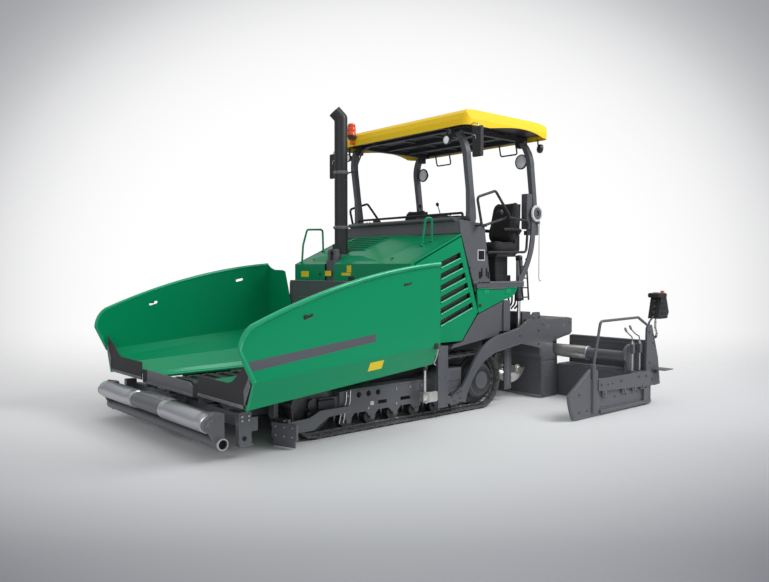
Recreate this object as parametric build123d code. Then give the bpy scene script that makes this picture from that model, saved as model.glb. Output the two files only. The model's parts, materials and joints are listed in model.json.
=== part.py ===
"""Crawler asphalt paver with a folding hopper, a folding roof and an extending screed.

Lengths are millimetres. The shapes are drawn with x = 0 on the track sprocket's axis,
+X forward to the hopper, +Y left and +Z up from the ground, and save() moves them so that
x = 0 is midway between the foremost and the rearmost point. The right side mirrors the left.
"""
from build123d import *
import math
import os

os.makedirs("parts", exist_ok=True)

# ---------------------------------------------------------------- push beam and overall reach
PUSH_X = 3840.0             # push rollers' axis
PUSH_Z = 360.0
PUSH_R = 95.0
PUSH_IN = 350.0             # rollers' inner ends
PUSH_OUT = 1300.0           # rollers' outer ends
PUSH_PIVOT_X = 3640.0
BEAM_BACK = 140.0           # from the rollers' axis to the beam's back
FRONT_REACH = PUSH_X + PUSH_R
REAR_REACH = -2370.0        # back of the screed's control boxes
X_MID = (FRONT_REACH + REAR_REACH) / 2
PIN_GAP = 0.05              # radial clearance of a pin in its bore

# ---------------------------------------------------------------- crawler tracks
TRACK_OUT = 1245.0          # outer faces of the pads
TRACK_IN = 945.0
SPROCKET_Z = 369.0
IDLER_X = 2560.0
IDLER_Z = 350.0
PAD = 34.0                  # pad thickness
LINK = 30.0                 # chain thickness inside the pads
PAD_COUNT = 48
PAD_GAP = 16.0
FRAME_Y = 1190.0            # outer face of a track frame

# ---------------------------------------------------------------- chassis and hood
SIDE_Y = 1200.0             # body sides
CHASSIS_Y = 640.0           # inner faces of the chassis side plates
HOOD_FRONT_X = 1200.0
HOOD_FRONT_Z = 1850.0
HOOD_REAR_X = 346.0
HOOD_REAR_Z = 2225.0
TUNNEL_Z0 = 560.0           # feed tunnel, over the conveyor
TUNNEL_Z1 = 850.0
DECK_Z = 880.0              # deck under the engine
DOOR_X = 1120.0             # engine door hinge
FLAP_Z = 1530.0             # tool flap hinge

# ---------------------------------------------------------------- hopper
WING_HINGE_Y = 670.0
WING_HINGE_Z = 550.0
WING_Y = 1770.0
WING_SKIN = 14.0
APRON_X = 3650.0

# ---------------------------------------------------------------- operator's deck
FLOOR_Z = 1620.0
FLOOR_REAR_X = -900.0
FLOOR_FRONT_X = 50.0

# ---------------------------------------------------------------- roof and posts
POST_X = (90.0, -1190.0)    # lower pivots of the front and rear posts
PIVOT_Z = 2370.0
POST_RISE = 1130.0          # pivot to pivot
POST_TOP_SHIFT = 120.0      # how far the upper pivots stand forward of the lower ones
POST_LOW_Y = 1130.0
POST_TOP_Y = 1040.0
EXHAUST_X = 1000.0
EXHAUST_Y = -390.0
EXHAUST_Z = 1975.0
ROOF_FRONT_X = 430.0
ROOF_REAR_X = -1257.0
ROOF_Y = 1350.0
ROOF_Z0 = 3550.0            # lower rim
ROOF_Z1 = 3800.0            # crest
ROOF_SKIN = 14.0

# ---------------------------------------------------------------- tow arms and screed
TOW_X = 1000.0
TOW_Z = 280.0
ARM_OUT = 1298.0            # outer faces of the tow arms
ARM_PLATE = 36.0
ARM_IN = ARM_OUT - ARM_PLATE
TOW_Y = ARM_OUT + 2         # tow point cylinders
TOW_ROD_X = TOW_X + 65
LIFT_X = -940.0             # screed lift cylinders
LIFT_Y = 1080.0
LIFT_RISE = 370.0           # tow point and lift travel together
SCREED_Y = 1275.0           # half of the basic screed width
SCREED_X0 = -1906.0
SCREED_X1 = -1188.0
SCREED_Z = 8.0              # underside of the screed plate over the ground
AUGER_X = -900.0
AUGER_Z = 412.0
AUGER_R = 200.0
TUBE_X = -1600.0
TUBE_Z = 640.0
TUBE_OUT_R = 112.0          # fixed tube; the middle and inner ones nest in it
TUBE_STEP = 21.0
TUBE_R = (TUBE_OUT_R, TUBE_OUT_R - TUBE_STEP - 1, TUBE_OUT_R - 2 * TUBE_STEP)
EXT_Y = 2440.0              # outer end of an extension's body
EXT_TRAVEL = 1100.0


# ---------------------------------------------------------------- helpers
def block(x0, x1, y0, y1, z0, z1):
    """Box between six faces."""
    return Pos((x0 + x1) / 2, (y0 + y1) / 2, (z0 + z1) / 2) * Box(x1 - x0, y1 - y0, z1 - z0)


def outline(points):
    """Closed face through the points."""
    return make_face(Polyline(*points, close=True))


def side_plate(points, y0, y1):
    """Plate with an (x, z) outline, from y0 to y1."""
    return extrude(outline([(x, y0, z) for x, z in points]), amount=y1 - y0, dir=(0, 1, 0))


def cross_plate(points, x0, x1):
    """Plate with a (y, z) outline, from x0 to x1."""
    return extrude(outline([(x0, y, z) for y, z in points]), amount=x1 - x0, dir=(1, 0, 0))


def flat_plate(points, z0, z1):
    """Plate with an (x, y) outline, from z0 to z1."""
    return extrude(outline([(x, y, z0) for x, y in points]), amount=z1 - z0, dir=(0, 0, 1))


def line(*points):
    """Straight runs through (x, z) points."""
    return Polyline(*[(x, 0, z) for x, z in points])


def arc(start, middle, end):
    """Arc through three (x, z) points."""
    return ThreePointArc(*[(x, 0, z) for x, z in (start, middle, end)])


def curve(*points):
    """Smooth curve through (x, z) points."""
    return Spline(*[(x, 0, z) for x, z in points])


def side_shape(edges, y0, y1):
    """Plate from y0 to y1 whose (x, z) outline is made of lines, arcs and curves."""
    face = make_face(Curve() + edges)
    return extrude(Pos(0, y0, 0) * face, amount=y1 - y0, dir=(0, 1, 0))


def rounded(shape, radius, axis=Axis.Y):
    """The shape with its edges along an axis rounded."""
    return fillet(shape.edges().filter_by(axis), radius)


def rod(start, end, radius, bore=0.0):
    """Round bar, or a tube if it has a bore."""
    way = Vector(*end) - Vector(*start)
    plane = Plane(origin=start, z_dir=way)
    bar = extrude(plane * Circle(radius), amount=way.length)
    if bore:
        bar -= extrude(plane * Circle(bore), amount=way.length)
    return bar


def pipe(points, radius, bend=60.0):
    """Round bar bent along straight runs with tangent arcs."""
    path = FilletPolyline(*points, radius=bend)
    return sweep(Plane(origin=path @ 0, z_dir=path % 0) * Circle(radius), path=path)


def beam(start, end, width, depth):
    """Square bar between two points; width lies along Y where it can."""
    way = Vector(*end) - Vector(*start)
    plane = Plane(origin=start, x_dir=(0, 1, 0), z_dir=way)
    return extrude(plane * Rectangle(width, depth), amount=way.length)


def flip(shape):
    """The same piece on the right."""
    return mirror(shape, about=Plane.XZ)


def pair(*shapes):
    """Left pieces with their right copies."""
    return [*shapes, *[flip(one) for one in shapes]]


def save(name, *shapes):
    """Write one node, moved to the row's origin."""
    solids = []
    for shape in shapes:
        solids += list(shape.solids())
    node = Compound(children=[Pos(-X_MID, 0, 0) * one for one in solids])
    export_step(node, f"parts/{name}.step")
    return solids


# ---------------------------------------------------------------- tracks
def track_loop():
    """One pad-and-chain loop, with gaps between its pads."""
    rear = Plane.XZ * Pos(0, SPROCKET_Z) * Circle(SPROCKET_Z)
    front = Plane.XZ * Pos(IDLER_X, IDLER_Z) * Circle(IDLER_Z)
    slope = math.asin((SPROCKET_Z - IDLER_Z) / IDLER_X)
    top_rear = (SPROCKET_Z * math.sin(slope), 0, SPROCKET_Z + SPROCKET_Z * math.cos(slope))
    top_front = (IDLER_X + IDLER_Z * math.sin(slope), 0, IDLER_Z + IDLER_Z * math.cos(slope))
    middle = outline([(0, 0, 0), (IDLER_X, 0, 0), top_front, top_rear])
    hull = extrude(rear, amount=300, dir=(0, 1, 0)) + extrude(front, amount=300, dir=(0, 1, 0))
    hull = hull + extrude(middle, amount=300, dir=(0, 1, 0))
    depth = PAD + LINK
    rear_in = Plane.XZ * Pos(0, SPROCKET_Z) * Circle(SPROCKET_Z - depth)
    front_in = Plane.XZ * Pos(IDLER_X, IDLER_Z) * Circle(IDLER_Z - depth)
    down = depth / math.cos(slope)
    inner = outline([
        (0, 0, depth), (IDLER_X, 0, depth),
        (top_front[0], 0, top_front[2] - down), (top_rear[0], 0, top_rear[2] - down)])
    hole = extrude(rear_in, amount=300, dir=(0, 1, 0)) + extrude(front_in, amount=300, dir=(0, 1, 0))
    hole = hole + extrude(inner, amount=300, dir=(0, 1, 0))
    loop = hull - hole
    # the runs of the loop: bottom, front arc, top, rear arc
    turn_front = math.pi - slope
    turn_rear = math.pi + slope
    lengths = (IDLER_X, IDLER_Z * turn_front, IDLER_X, SPROCKET_Z * turn_rear)
    pitch = sum(lengths) / PAD_COUNT
    cuts = []
    for index in range(PAD_COUNT):
        along = (index + 0.5) * pitch
        if along < lengths[0]:
            at, angle = (along, 0.0), -90.0
        elif along < lengths[0] + lengths[1]:
            swing = (along - lengths[0]) / IDLER_Z
            angle = -90.0 + math.degrees(swing)
            at = (IDLER_X + IDLER_Z * math.cos(math.radians(angle)),
                  IDLER_Z + IDLER_Z * math.sin(math.radians(angle)))
        elif along < lengths[0] + lengths[1] + lengths[2]:
            share = (along - lengths[0] - lengths[1]) / lengths[2]
            angle = 90.0 - math.degrees(slope)
            at = (top_front[0] + (top_rear[0] - top_front[0]) * share,
                  top_front[2] + (top_rear[2] - top_front[2]) * share)
        else:
            swing = (along - lengths[0] - lengths[1] - lengths[2]) / SPROCKET_Z
            angle = 90.0 - math.degrees(slope) + math.degrees(swing)
            at = (SPROCKET_Z * math.cos(math.radians(angle)),
                  SPROCKET_Z + SPROCKET_Z * math.sin(math.radians(angle)))
        cut = Pos(at[0], 150, at[1]) * Rot(0, -angle, 0) * Box(2 * PAD, 320, PAD_GAP)
        cuts.append(cut)
    return Pos(0, TRACK_IN, 0) * (loop - cuts)


ROLLER_X = (420.0, 760.0, 1100.0, 1440.0, 1780.0, 2120.0)
ROLLER_R = 68.0


def track_frame():
    """Side frame inside a track loop, with the roller carriers and the idler's fork."""
    edges = [line((880, 205), (2080, 205), (2240, 250), (2240, 455), (2080, 470), (900, 470)),
             arc((900, 470), (760, 500), (660, 560)), line((660, 560), (330, 560), (330, 300), (640, 250)),
             arc((640, 250), (750, 215), (880, 205))]
    plate = side_shape(edges, 1000, FRAME_Y)
    holes = [Pos(x, 1095, 400) * Rot(90, 0, 0) * Cylinder(34, 400) for x in (1690, 1830, 1970)]
    slots = [block(x, x + 170, 900, 1300, 262, 306) for x in (1180, 1560)]
    frame = plate - holes - slots
    fork = block(2240, 2490, 1122, 1160, 290, 410) + block(2240, 2490, 1030, 1068, 290, 410)
    carriers = [side_shape([line((x - 40, 150), (x - 90, 205), (x - 90, 310), (x + 90, 310),
                                 (x + 90, 205), (x + 40, 150)),
                            arc((x + 40, 150), (x, 132), (x - 40, 150))],
                           FRAME_Y - 22, FRAME_Y) for x in ROLLER_X]
    frame = frame + fork
    for one in carriers:
        frame = frame + one
    return frame


left_track = track_loop()
save("left_track", left_track)
save("right_track", flip(left_track))

save("track_frames", *pair(track_frame()))

depth = PAD + LINK
rollers = []
for x in ROLLER_X:
    z = depth + ROLLER_R
    wheel = rod((x, 1020, z), (x, 1150, z), ROLLER_R) + rod((x, 1150, z), (x, FRAME_Y - 22, z), 24)
    rollers.append(wheel)
sprocket = rod((0, 1075, SPROCKET_Z), (0, 1115, SPROCKET_Z), SPROCKET_Z - depth - 1)
dome = revolve(Plane.YZ * make_face(
    Polyline((0, 0), (0, 232), (70, 228)) + Spline((70, 228), (112, 190), (128, 100), (130, 0))
    + Polyline((130, 0), (0, 0))), axis=Axis.Y)
cover = Pos(0, 1112, SPROCKET_Z) * dome
hub = rod((0, 1112, SPROCKET_Z), (0, 1116, SPROCKET_Z), 150)
motor = rod((0, CHASSIS_Y + 36, SPROCKET_Z), (0, 1075, SPROCKET_Z), 150)
sprocket = sprocket + cover + hub + motor
idler = rod((IDLER_X, 1075, IDLER_Z), (IDLER_X, 1115, IDLER_Z), IDLER_Z - depth - 1)
idler = idler + rod((IDLER_X, 1030, IDLER_Z), (IDLER_X, 1160, IDLER_Z), 70)
rollers += [sprocket, idler]
save("track_wheels", *pair(*rollers))

# plough in front of each track, on an arm from the front frame
deflector = flat_plate([(2950, 960), (3085, 1180), (2985, 1470), (2955, 1455), (3045, 1185),
                        (2925, 975)], 90, 250)
rubber = flat_plate([(2958, 973), (3073, 1181), (2985, 1440), (2967, 1432), (3053, 1183),
                     (2943, 981)], 15, 90)
arm = side_plate([(2960, 120), (2960, 240), (2700, 250), (2560, 310), (2150, 310), (2150, 250),
                  (2460, 230), (2640, 120)], 1262, 1284)
carrier = block(2930, 3000, 1000, 1262, 250, 270) + block(2930, 2962, 1262, 1284, 240, 270)
bracket = block(2150, 2230, FRAME_Y, 1262, 260, 310)
stem = block(2960, 3010, 1000, 1100, 270, 420)
save("track_deflectors", *pair(deflector + carrier + arm + stem + bracket), *pair(rubber))

# ---------------------------------------------------------------- chassis
side = side_plate([(-640, 250), (900, 200), (2600, 200), (3380, 260), (3380, 500), (1200, 520),
                   (1200, 840), (-640, 840)], CHASSIS_Y, CHASSIS_Y + 36)
frame = side + flip(side)
frame = frame + block(-640, HOOD_FRONT_X, -CHASSIS_Y - 36, CHASSIS_Y + 36, 850 - 10, DECK_Z)
frame = frame + block(-640, 3300, -CHASSIS_Y, CHASSIS_Y, 300, 330)
for x0, x1 in ((330, 640), (1500, 1640), (2040, 2180)):
    cross = block(x0, x1, CHASSIS_Y + 36, 1000, 310, 440)
    frame = frame + cross + flip(cross)
frame = frame + block(-640, 1180, -20, 20, 330, 840)
for x in (-500, 800, 2000, 3200):
    frame = frame + block(x, x + 80, -CHASSIS_Y, CHASSIS_Y, 330, 400)
# lugs and pins that carry the wings' hinge tubes
for x0, x1, pin0, pin1 in ((1262, 1298, 1298, 1340), (3594, 3612, 3560, 3594)):
    lug = block(x0, x1, CHASSIS_Y, WING_HINGE_Y + 26, 500, WING_HINGE_Z + 26)
    lug = lug + rod((pin0, WING_HINGE_Y, WING_HINGE_Z), (pin1, WING_HINGE_Y, WING_HINGE_Z), 13.95)
    if x0 > 3000:
        lug = lug + block(3380, x1, CHASSIS_Y, CHASSIS_Y + 36, 430, 520)
    frame = frame + lug + flip(lug)
save("main_frame", frame)

conveyor = []
for y in (-330.0, 330.0):
    band = block(-620, 3376, y - 290, y + 290, 400, 500)
    for index in range(21):
        x = -560 + index * 190
        band = band + block(x, x + 34, y - 290, y + 290, 500, 524)
    conveyor.append(band)
save("conveyors", *conveyor)

# front frame under the hopper, with the push beam's pivot
FRAME_X = PUSH_PIVOT_X - 190        # front face of the frame's bar
TIE_POST_X = PUSH_PIVOT_X - 60      # front face of the outer posts
front = block(FRAME_X - 70, FRAME_X, -PUSH_OUT - 100, PUSH_OUT + 100, 250, 380)
front = front + block(FRAME_X - 150, FRAME_X - 70, -CHASSIS_Y, CHASSIS_Y, 250, 380)
post = block(FRAME_X, TIE_POST_X, PUSH_OUT + 30, PUSH_OUT + 100, 130, 440)
post = rounded(post, 14)
foot = side_plate([(FRAME_X - 20, 116), (TIE_POST_X, 116), (TIE_POST_X, 130), (FRAME_X - 20, 130)],
                  PUSH_OUT + 20, PUSH_OUT + 106)
tie_down = rod((FRAME_X + 75, PUSH_OUT, 190), (FRAME_X + 75, PUSH_OUT + 130, 190), 26)
post = post + foot - tie_down
front = front + post + flip(post)
front = front + block(FRAME_X, FRAME_X + 110, -150, 150, 290, 330)
for z0, z1 in ((240, 262), (418, 440)):
    ear = block(FRAME_X + 110, PUSH_PIVOT_X, -60, 60, z0, z1)
    front = front + ear + rod((PUSH_PIVOT_X, 0, z0), (PUSH_PIVOT_X, 0, z1), 60)
front = front + block(FRAME_X, FRAME_X + 112, -60, 60, 240, 440)
front = front + rod((PUSH_PIVOT_X, 0, 240), (PUSH_PIVOT_X, 0, 440), 30)
for y in (-900, 900):
    front = front + block(FRAME_X - 50, FRAME_X - 10, y - 60, y + 60, 380, 470)
save("front_frame", front)

# ---------------------------------------------------------------- hopper
wall_back = cross_plate([(-1250, 1620), (-1250, 1300), (-940, 880), (-CHASSIS_Y - 4, 880),
                         (-CHASSIS_Y - 4, TUNNEL_Z1), (CHASSIS_Y + 4, TUNNEL_Z1),
                         (CHASSIS_Y + 4, 880), (940, 880), (1250, 1300), (1250, 1620)],
                        HOOD_FRONT_X, HOOD_FRONT_X + 50)
save("hopper_back_wall", wall_back)

apron_mid = cross_plate([(-636, 480), (560, 480), (590, 520), (590, 560), (480, 625),
                         (-636, 640)], APRON_X - 30, APRON_X - 18)
apron_mid = apron_mid + block(3392, APRON_X - 30, -600, 540, 505, 517)
for y in (-450, 400):
    apron_mid = apron_mid + block(3400, 3450, y - 40, y + 40, 380, 505)
save("centre_apron", apron_mid)

WING_REAR_X = HOOD_FRONT_X + 91
WING_LOW_FRONT = (APRON_X - 10, 775)
WING_NOSE = (3779, 1064)
WING_SHOULDER = (3657, 1278)
WING_REAR_TOP = (WING_REAR_X, 1842)
nose = arc(WING_NOSE, (3728, 1211), WING_SHOULDER)
crest = arc(WING_SHOULDER, (2549, 1642), WING_REAR_TOP)
wall = side_shape([nose, crest, line(WING_REAR_TOP, (WING_REAR_X, 950), WING_LOW_FRONT, WING_NOSE)],
                  WING_Y - WING_SKIN, WING_Y)
for x, z, angle in ((3045, 1338, 17), (1772, 1627, 12)):
    slot = Pos(x, WING_Y, z) * Rot(0, angle, 0) * Box(120, 60, 34)
    wall = wall - rounded(slot, 15)


def section(x, points):
    """Closed (y, z) face at x."""
    return outline([(x, y, z) for y, z in points])


def skin(y0, z0, y1, z1, y2, z2, y3, z3):
    """Section of the wing's floor: from the hinge out to the wall, as a folded plate."""
    up = WING_SKIN
    return [(y0, z0), (y1, z1), (y2, z2), (y3, z3), (y3, z3 + up), (y2 - 4, z2 + up),
            (y1 - 6, z1 + up), (y0, z0 + up * 1.6)]


floor_front = section(WING_LOW_FRONT[0], skin(690, 580, 950, 690, 1500, 690, 1756, 765))
floor_rear = section(WING_REAR_X, skin(690, 620, 930, 790, 1500, 930, 1756, 945))
wing_floor = loft([floor_front, floor_rear], ruled=True)
keel_front = section(WING_LOW_FRONT[0], [(1770, 775), (1756, 775), (1640, 509), (1654, 505)])
keel_rear = section(WING_REAR_X, [(1770, 950), (1756, 950), (1640, 729), (1654, 725)])
keel = loft([keel_front, keel_rear], ruled=True)
lip_front = section(WING_LOW_FRONT[0], [(1654, 505), (1654, 517), (1590, 517), (1590, 505)])
lip_rear = section(WING_REAR_X, [(1654, 725), (1654, 737), (1590, 737), (1590, 725)])
keel = keel + loft([lip_front, lip_rear], ruled=True)
hinge = rod((1300, WING_HINGE_Y, WING_HINGE_Z), (3590, WING_HINGE_Y, WING_HINGE_Z), 24)
hinge = hinge + loft([section(3590, [(662, 560), (690, 560), (702, 600), (690, 602)]),
                      section(1300, [(662, 560), (690, 560), (702, 640), (690, 642)])], ruled=True)
end_plate = cross_plate([(1765, 950), (1765, 1838), (1700, 1800), (1600, 1772), (1400, 1768),
                         (1330, 1750), (1180, 1290),
                         (925, 905), (900, 800), (930, 780), (1500, 935), (1765, 946)], WING_REAR_X - 14, WING_REAR_X)
hinge = hinge - rod((1200, WING_HINGE_Y, WING_HINGE_Z), (3700, WING_HINGE_Y, WING_HINGE_Z), 14)
wing = wall + wing_floor + keel + hinge + end_plate
along = [crest @ share for share in (0.25, 0.5, 0.75, 1)]
edge = [WING_LOW_FRONT, WING_NOSE, (3728, 1211), WING_SHOULDER] + [(at.X, at.Z) for at in along]
rim = pipe([(x, WING_Y + 4, z) for x, z in edge], 21, 30)
wing = wing + rim
save("left_wing", wing)
save("right_wing", flip(wing))

apron = cross_plate([(700, 515), (1610, 515), (1740, 800), (1725, 960), (1690, 905), (1560, 860),
                     (1400, 745), (1310, 720), (700, 720)], APRON_X - 10, APRON_X + 2)
save("left_wing_apron", apron)
save("right_wing_apron", flip(apron))

# ---------------------------------------------------------------- push beam
BEAM_X = PUSH_X - BEAM_BACK         # back of the beam
beam_body = rounded(block(BEAM_X, BEAM_X + 100, -PUSH_OUT, PUSH_OUT, 300, 420), 12)
housing = side_shape(
    [line((BEAM_X + 6, 440), (BEAM_X + 6, 280), (PUSH_X + 10, 280)),
     arc((PUSH_X + 10, 280), (PUSH_X + 90, PUSH_Z), (PUSH_X + 10, 440)),
     line((PUSH_X + 10, 440), (BEAM_X + 6, 440))], 10 - PUSH_IN, PUSH_IN - 10)
beam_body = beam_body + housing
beam_body = beam_body + rod((PUSH_PIVOT_X, 0, 270), (PUSH_PIVOT_X, 0, 410), 62)
beam_body = beam_body + block(PUSH_PIVOT_X, BEAM_X + 10, -50, 50, 270, 410)
beam_body = beam_body - rod((PUSH_PIVOT_X, 0, 200), (PUSH_PIVOT_X, 0, 480), 30 + PIN_GAP)
cheek = side_shape(
    [line((BEAM_X + 60, 100), (BEAM_X, 90), (BEAM_X, 440), (BEAM_X + 100, 460), (PUSH_X + 60, 400)),
     arc((PUSH_X + 60, 400), (PUSH_X + 85, 340), (PUSH_X + 20, 280)),
     line((PUSH_X + 20, 280), (BEAM_X + 60, 100))], PUSH_OUT, PUSH_OUT + 34)
low_pipe = rod((BEAM_X + 45, -PUSH_OUT - 90, 164), (BEAM_X + 45, PUSH_OUT + 90, 164), 56, 44)
beam_body = beam_body + cheek + flip(cheek)
well = rod((PUSH_X, PUSH_IN, PUSH_Z), (PUSH_X, PUSH_OUT, PUSH_Z), PUSH_R + 6)
beam_body = beam_body - well - flip(well)
for y0, y1 in ((PUSH_IN - 20, PUSH_IN + 60), (PUSH_OUT - 60, PUSH_OUT + 10)):
    axle = rod((PUSH_X, y0, PUSH_Z), (PUSH_X, y1, PUSH_Z), 20)
    beam_body = beam_body + axle + flip(axle)
save("push_beam", beam_body + low_pipe)
roller = rod((PUSH_X, PUSH_IN + 6, PUSH_Z), (PUSH_X, PUSH_OUT - 6, PUSH_Z), PUSH_R, 20 + PIN_GAP)
save("left_push_roller", roller)
save("right_push_roller", flip(roller))

# ---------------------------------------------------------------- engine hood
HOOD_SLOPE = (HOOD_REAR_Z - HOOD_FRONT_Z) / (HOOD_FRONT_X - HOOD_REAR_X)


def hood_z(x):
    """Height of the hood's top at x."""
    return HOOD_FRONT_Z + (HOOD_FRONT_X - x) * HOOD_SLOPE


SKIN = 6.0
top_plate = side_plate(
    [(HOOD_FRONT_X, HOOD_FRONT_Z), (HOOD_REAR_X, HOOD_REAR_Z), (HOOD_REAR_X, HOOD_REAR_Z - SKIN),
     (HOOD_FRONT_X, HOOD_FRONT_Z - SKIN)], -SIDE_Y, SIDE_Y)
GRILLE = [(880, -740), (880, -40), (460, 20), (460, -740)]
LIFT = 40.0                 # how far the raised cover stands over the hood


def on_hood(points, rise):
    """Face through (x, y) points, rise above the hood's top."""
    return outline([(x, y, hood_z(x) + rise) for x, y in points])


grille_hole = extrude(on_hood(GRILLE, -100), amount=300, dir=(0, 0, 1))
cover = loft([on_hood([(1130, -900), (1130, 560), (380, 760), (380, -900)], -1),
              on_hood([(1040, -830), (1040, 80), (400, 80), (400, -830)], LIFT)], ruled=True)
hood = top_plate + cover - grille_hole
BARS = 6
for index in range(BARS):
    x = 490 + index * 66
    bar = side_plate([(x, hood_z(x) + LIFT - 4), (x + 30, hood_z(x + 30) + LIFT - 8),
                      (x + 30, hood_z(x + 30) + LIFT - 30), (x, hood_z(x) + LIFT - 30)], -750, 20)
    hood = hood + (bar & extrude(on_hood([(900, -760), (900, -30), (440, 30), (440, -760)], -200),
                                 amount=500, dir=(0, 0, 1)))
front_plate = block(HOOD_FRONT_X - SKIN, HOOD_FRONT_X, -SIDE_Y, SIDE_Y, 1625, HOOD_FRONT_Z)
hood = hood + front_plate
for sign in (-1, 1):
    y0, y1 = sorted((sign * (SIDE_Y - SKIN), sign * SIDE_Y))
    post = side_plate([(DOOR_X + 20, DECK_Z), (HOOD_FRONT_X, DECK_Z), (HOOD_FRONT_X, HOOD_FRONT_Z),
                       (DOOR_X + 20, hood_z(DOOR_X + 20))], y0, y1)
    rim = side_plate([(HOOD_FRONT_X, HOOD_FRONT_Z), (HOOD_REAR_X, HOOD_REAR_Z),
                      (HOOD_REAR_X, HOOD_REAR_Z - 24), (HOOD_FRONT_X, HOOD_FRONT_Z - 24)], y0, y1)
    hood = hood + post + rim
hood = hood - block(905, 1300, EXHAUST_Y - 100, EXHAUST_Y + 100, 1500, 2200)
hoops = [pipe([(560, 900, hood_z(560) - 3), (560, 900, 2430), (650, 880, 2420),
               (690, 860, hood_z(690) - 3)], 14, 40),
         pipe([(1150, -1100, hood_z(1150) - 3), (1130, -1100, 2120), (1060, -1100, 2340),
               (790, -1100, 2350), (780, -1100, hood_z(780) - 3)], 14, 40)]
for one in hoops:
    hood = hood + one
lug = block(1095, 1150, 1165, SIDE_Y, 866, 886) + block(1140, 1150, 1165, SIDE_Y, 866, 920)
lug = lug + rod((DOOR_X, SIDE_Y - 15, 886), (DOOR_X, SIDE_Y - 15, 906), 5)
top = hood_z(DOOR_X)
lug = lug + rod((DOOR_X, SIDE_Y - 15, top - 60), (DOOR_X, SIDE_Y - 15, top - 4), 5)
hood = hood + lug + flip(lug)
save("engine_hood", hood)

engine = side_plate([(-650, DECK_Z), (1050, DECK_Z), (1050, 1690), (420, 1960), (130, 1450),
                     (-650, 1450)], -900, 900)
engine = engine - block(905, 1300, EXHAUST_Y - 110, EXHAUST_Y + 110, 1500, 2200)
save("engine_block", engine)

# louvred doors; the rear edge runs down and forward past the tank
DOOR_EDGE = [(DOOR_X, 890), (DOOR_X, hood_z(DOOR_X) - 42), (HOOD_REAR_X + 4, HOOD_REAR_Z - 42),
             (34, 1238), (330, 890)]
door = side_plate(DOOR_EDGE, SIDE_Y - 34, SIDE_Y + 4)
door = door - side_plate([(DOOR_X - 30, 920), (DOOR_X - 30, hood_z(DOOR_X) - 80),
                          (HOOD_REAR_X + 50, HOOD_REAR_Z - 100), (90, 1245), (350, 920)],
                         SIDE_Y - 40, SIDE_Y - 2)
LOUVRE = [(x, z) for x, z in ((364, 1995), (322, 1870), (276, 1745), (232, 1620), (188, 1494),
                              (142, 1367))]
for x, z in LOUVRE:
    length = 720 - x
    cut = side_plate([(x, z), (x + length, z - length * 0.364), (x + length + 8, z - 88 - length * 0.364),
                      (x - 22, z - 80)], SIDE_Y - 50, SIDE_Y + 20)
    door = door - cut
hinge_bar = rod((DOOR_X, SIDE_Y - 15, 890), (DOOR_X, SIDE_Y - 15, hood_z(DOOR_X) - 50), 14)
door = door + hinge_bar
door = door - rod((DOOR_X, SIDE_Y - 15, 880), (DOOR_X, SIDE_Y - 15, 910), 5.05)
door = door - rod((DOOR_X, SIDE_Y - 15, hood_z(DOOR_X) - 64), (DOOR_X, SIDE_Y - 15, 1900), 5.05)
save("left_engine_door", door)
save("right_engine_door", flip(door))

tank = side_plate([(-363, 918), (500, 806), (522, 800), (470, 850), (318, 872), (22, 1205),
                   (-462, 1361)], 900, SIDE_Y)
tank = tank + block(-610, -480, 900, SIDE_Y, 965, 1370) + block(-490, -380, 900, SIDE_Y - 24, 965, 1320)
save("tank_panels", *pair(tank))

FLAP_Y = SIDE_Y + 4         # flap's outer face and hinge axis
flap = side_shape([line((28, 1240), (50, FLAP_Z), (-750, FLAP_Z), (-740, 1500)),
                   curve((-740, 1500), (-690, 1446), (-600, 1404), (-462, 1377)),
                   line((-462, 1377), (8, 1225), (28, 1240))], SIDE_Y - 26, FLAP_Y)
flap = flap - block(-520, -180, FLAP_Y - 14, FLAP_Y + 10, FLAP_Z - 14, FLAP_Z + 10)
for x0, x1 in ((-740, -522), (-178, 40)):
    flap = flap + rod((x0, FLAP_Y, FLAP_Z), (x1, FLAP_Y, FLAP_Z), 9)
flap = flap - rod((-760, FLAP_Y, FLAP_Z), (60, FLAP_Y, FLAP_Z), 4 + PIN_GAP)
save("left_side_flap", flap)
save("right_side_flap", flip(flap))

# ---------------------------------------------------------------- operator's deck
DECK_LOW = FLOOR_Z - 75
deck = block(FLOOR_REAR_X, FLOOR_FRONT_X, -SIDE_Y, SIDE_Y, DECK_LOW, FLOOR_Z)
bulkhead = side_plate([(20, FLOOR_Z), (84, FLOOR_Z), (334, 2200), (300, 2380), (262, 2380),
                       (282, 2200)], -SIDE_Y + 30, SIDE_Y - 30)
deck = deck + bulkhead
PANEL = [(365, 2391), (340, 2226), (105, 1600), (-201, 1600), (-82, 2359)]
panel = side_plate(PANEL, SIDE_Y - 30, SIDE_Y)
for x in (-60, -150):
    slot = rounded(block(x, x + 34, SIDE_Y - 60, SIDE_Y + 20, 1680, 1800), 15)
    panel = panel - slot
deck = deck + panel + flip(panel)
dash = side_shape([line((262, 2380), (300, 2380), (345, 2400)), arc((345, 2400), (350, 2425), (320, 2440)),
                   line((320, 2440), (130, 2440)), arc((130, 2440), (100, 2432), (95, 2400)),
                   line((95, 2400), (250, 2400), (262, 2380))], -1070, 1070)
deck = deck + dash
deck = deck + block(-700, -650, -940, 940, DECK_Z + 20, DECK_LOW)
# hinge strips and pins of the two side flaps
strip = block(-730, 20, SIDE_Y - 50, SIDE_Y - 26.3, FLAP_Z - 35, DECK_LOW)
knuckle = rod((-518, FLAP_Y, FLAP_Z), (-182, FLAP_Y, FLAP_Z), 9)
knuckle = knuckle + block(-518, -182, FLAP_Y - 12, FLAP_Y - 4, FLAP_Z, DECK_LOW)
knuckle = knuckle + rod((-740, FLAP_Y, FLAP_Z), (40, FLAP_Y, FLAP_Z), 4)
strip = strip + knuckle
deck = deck + strip + flip(strip)
save("platform", deck)

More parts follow.
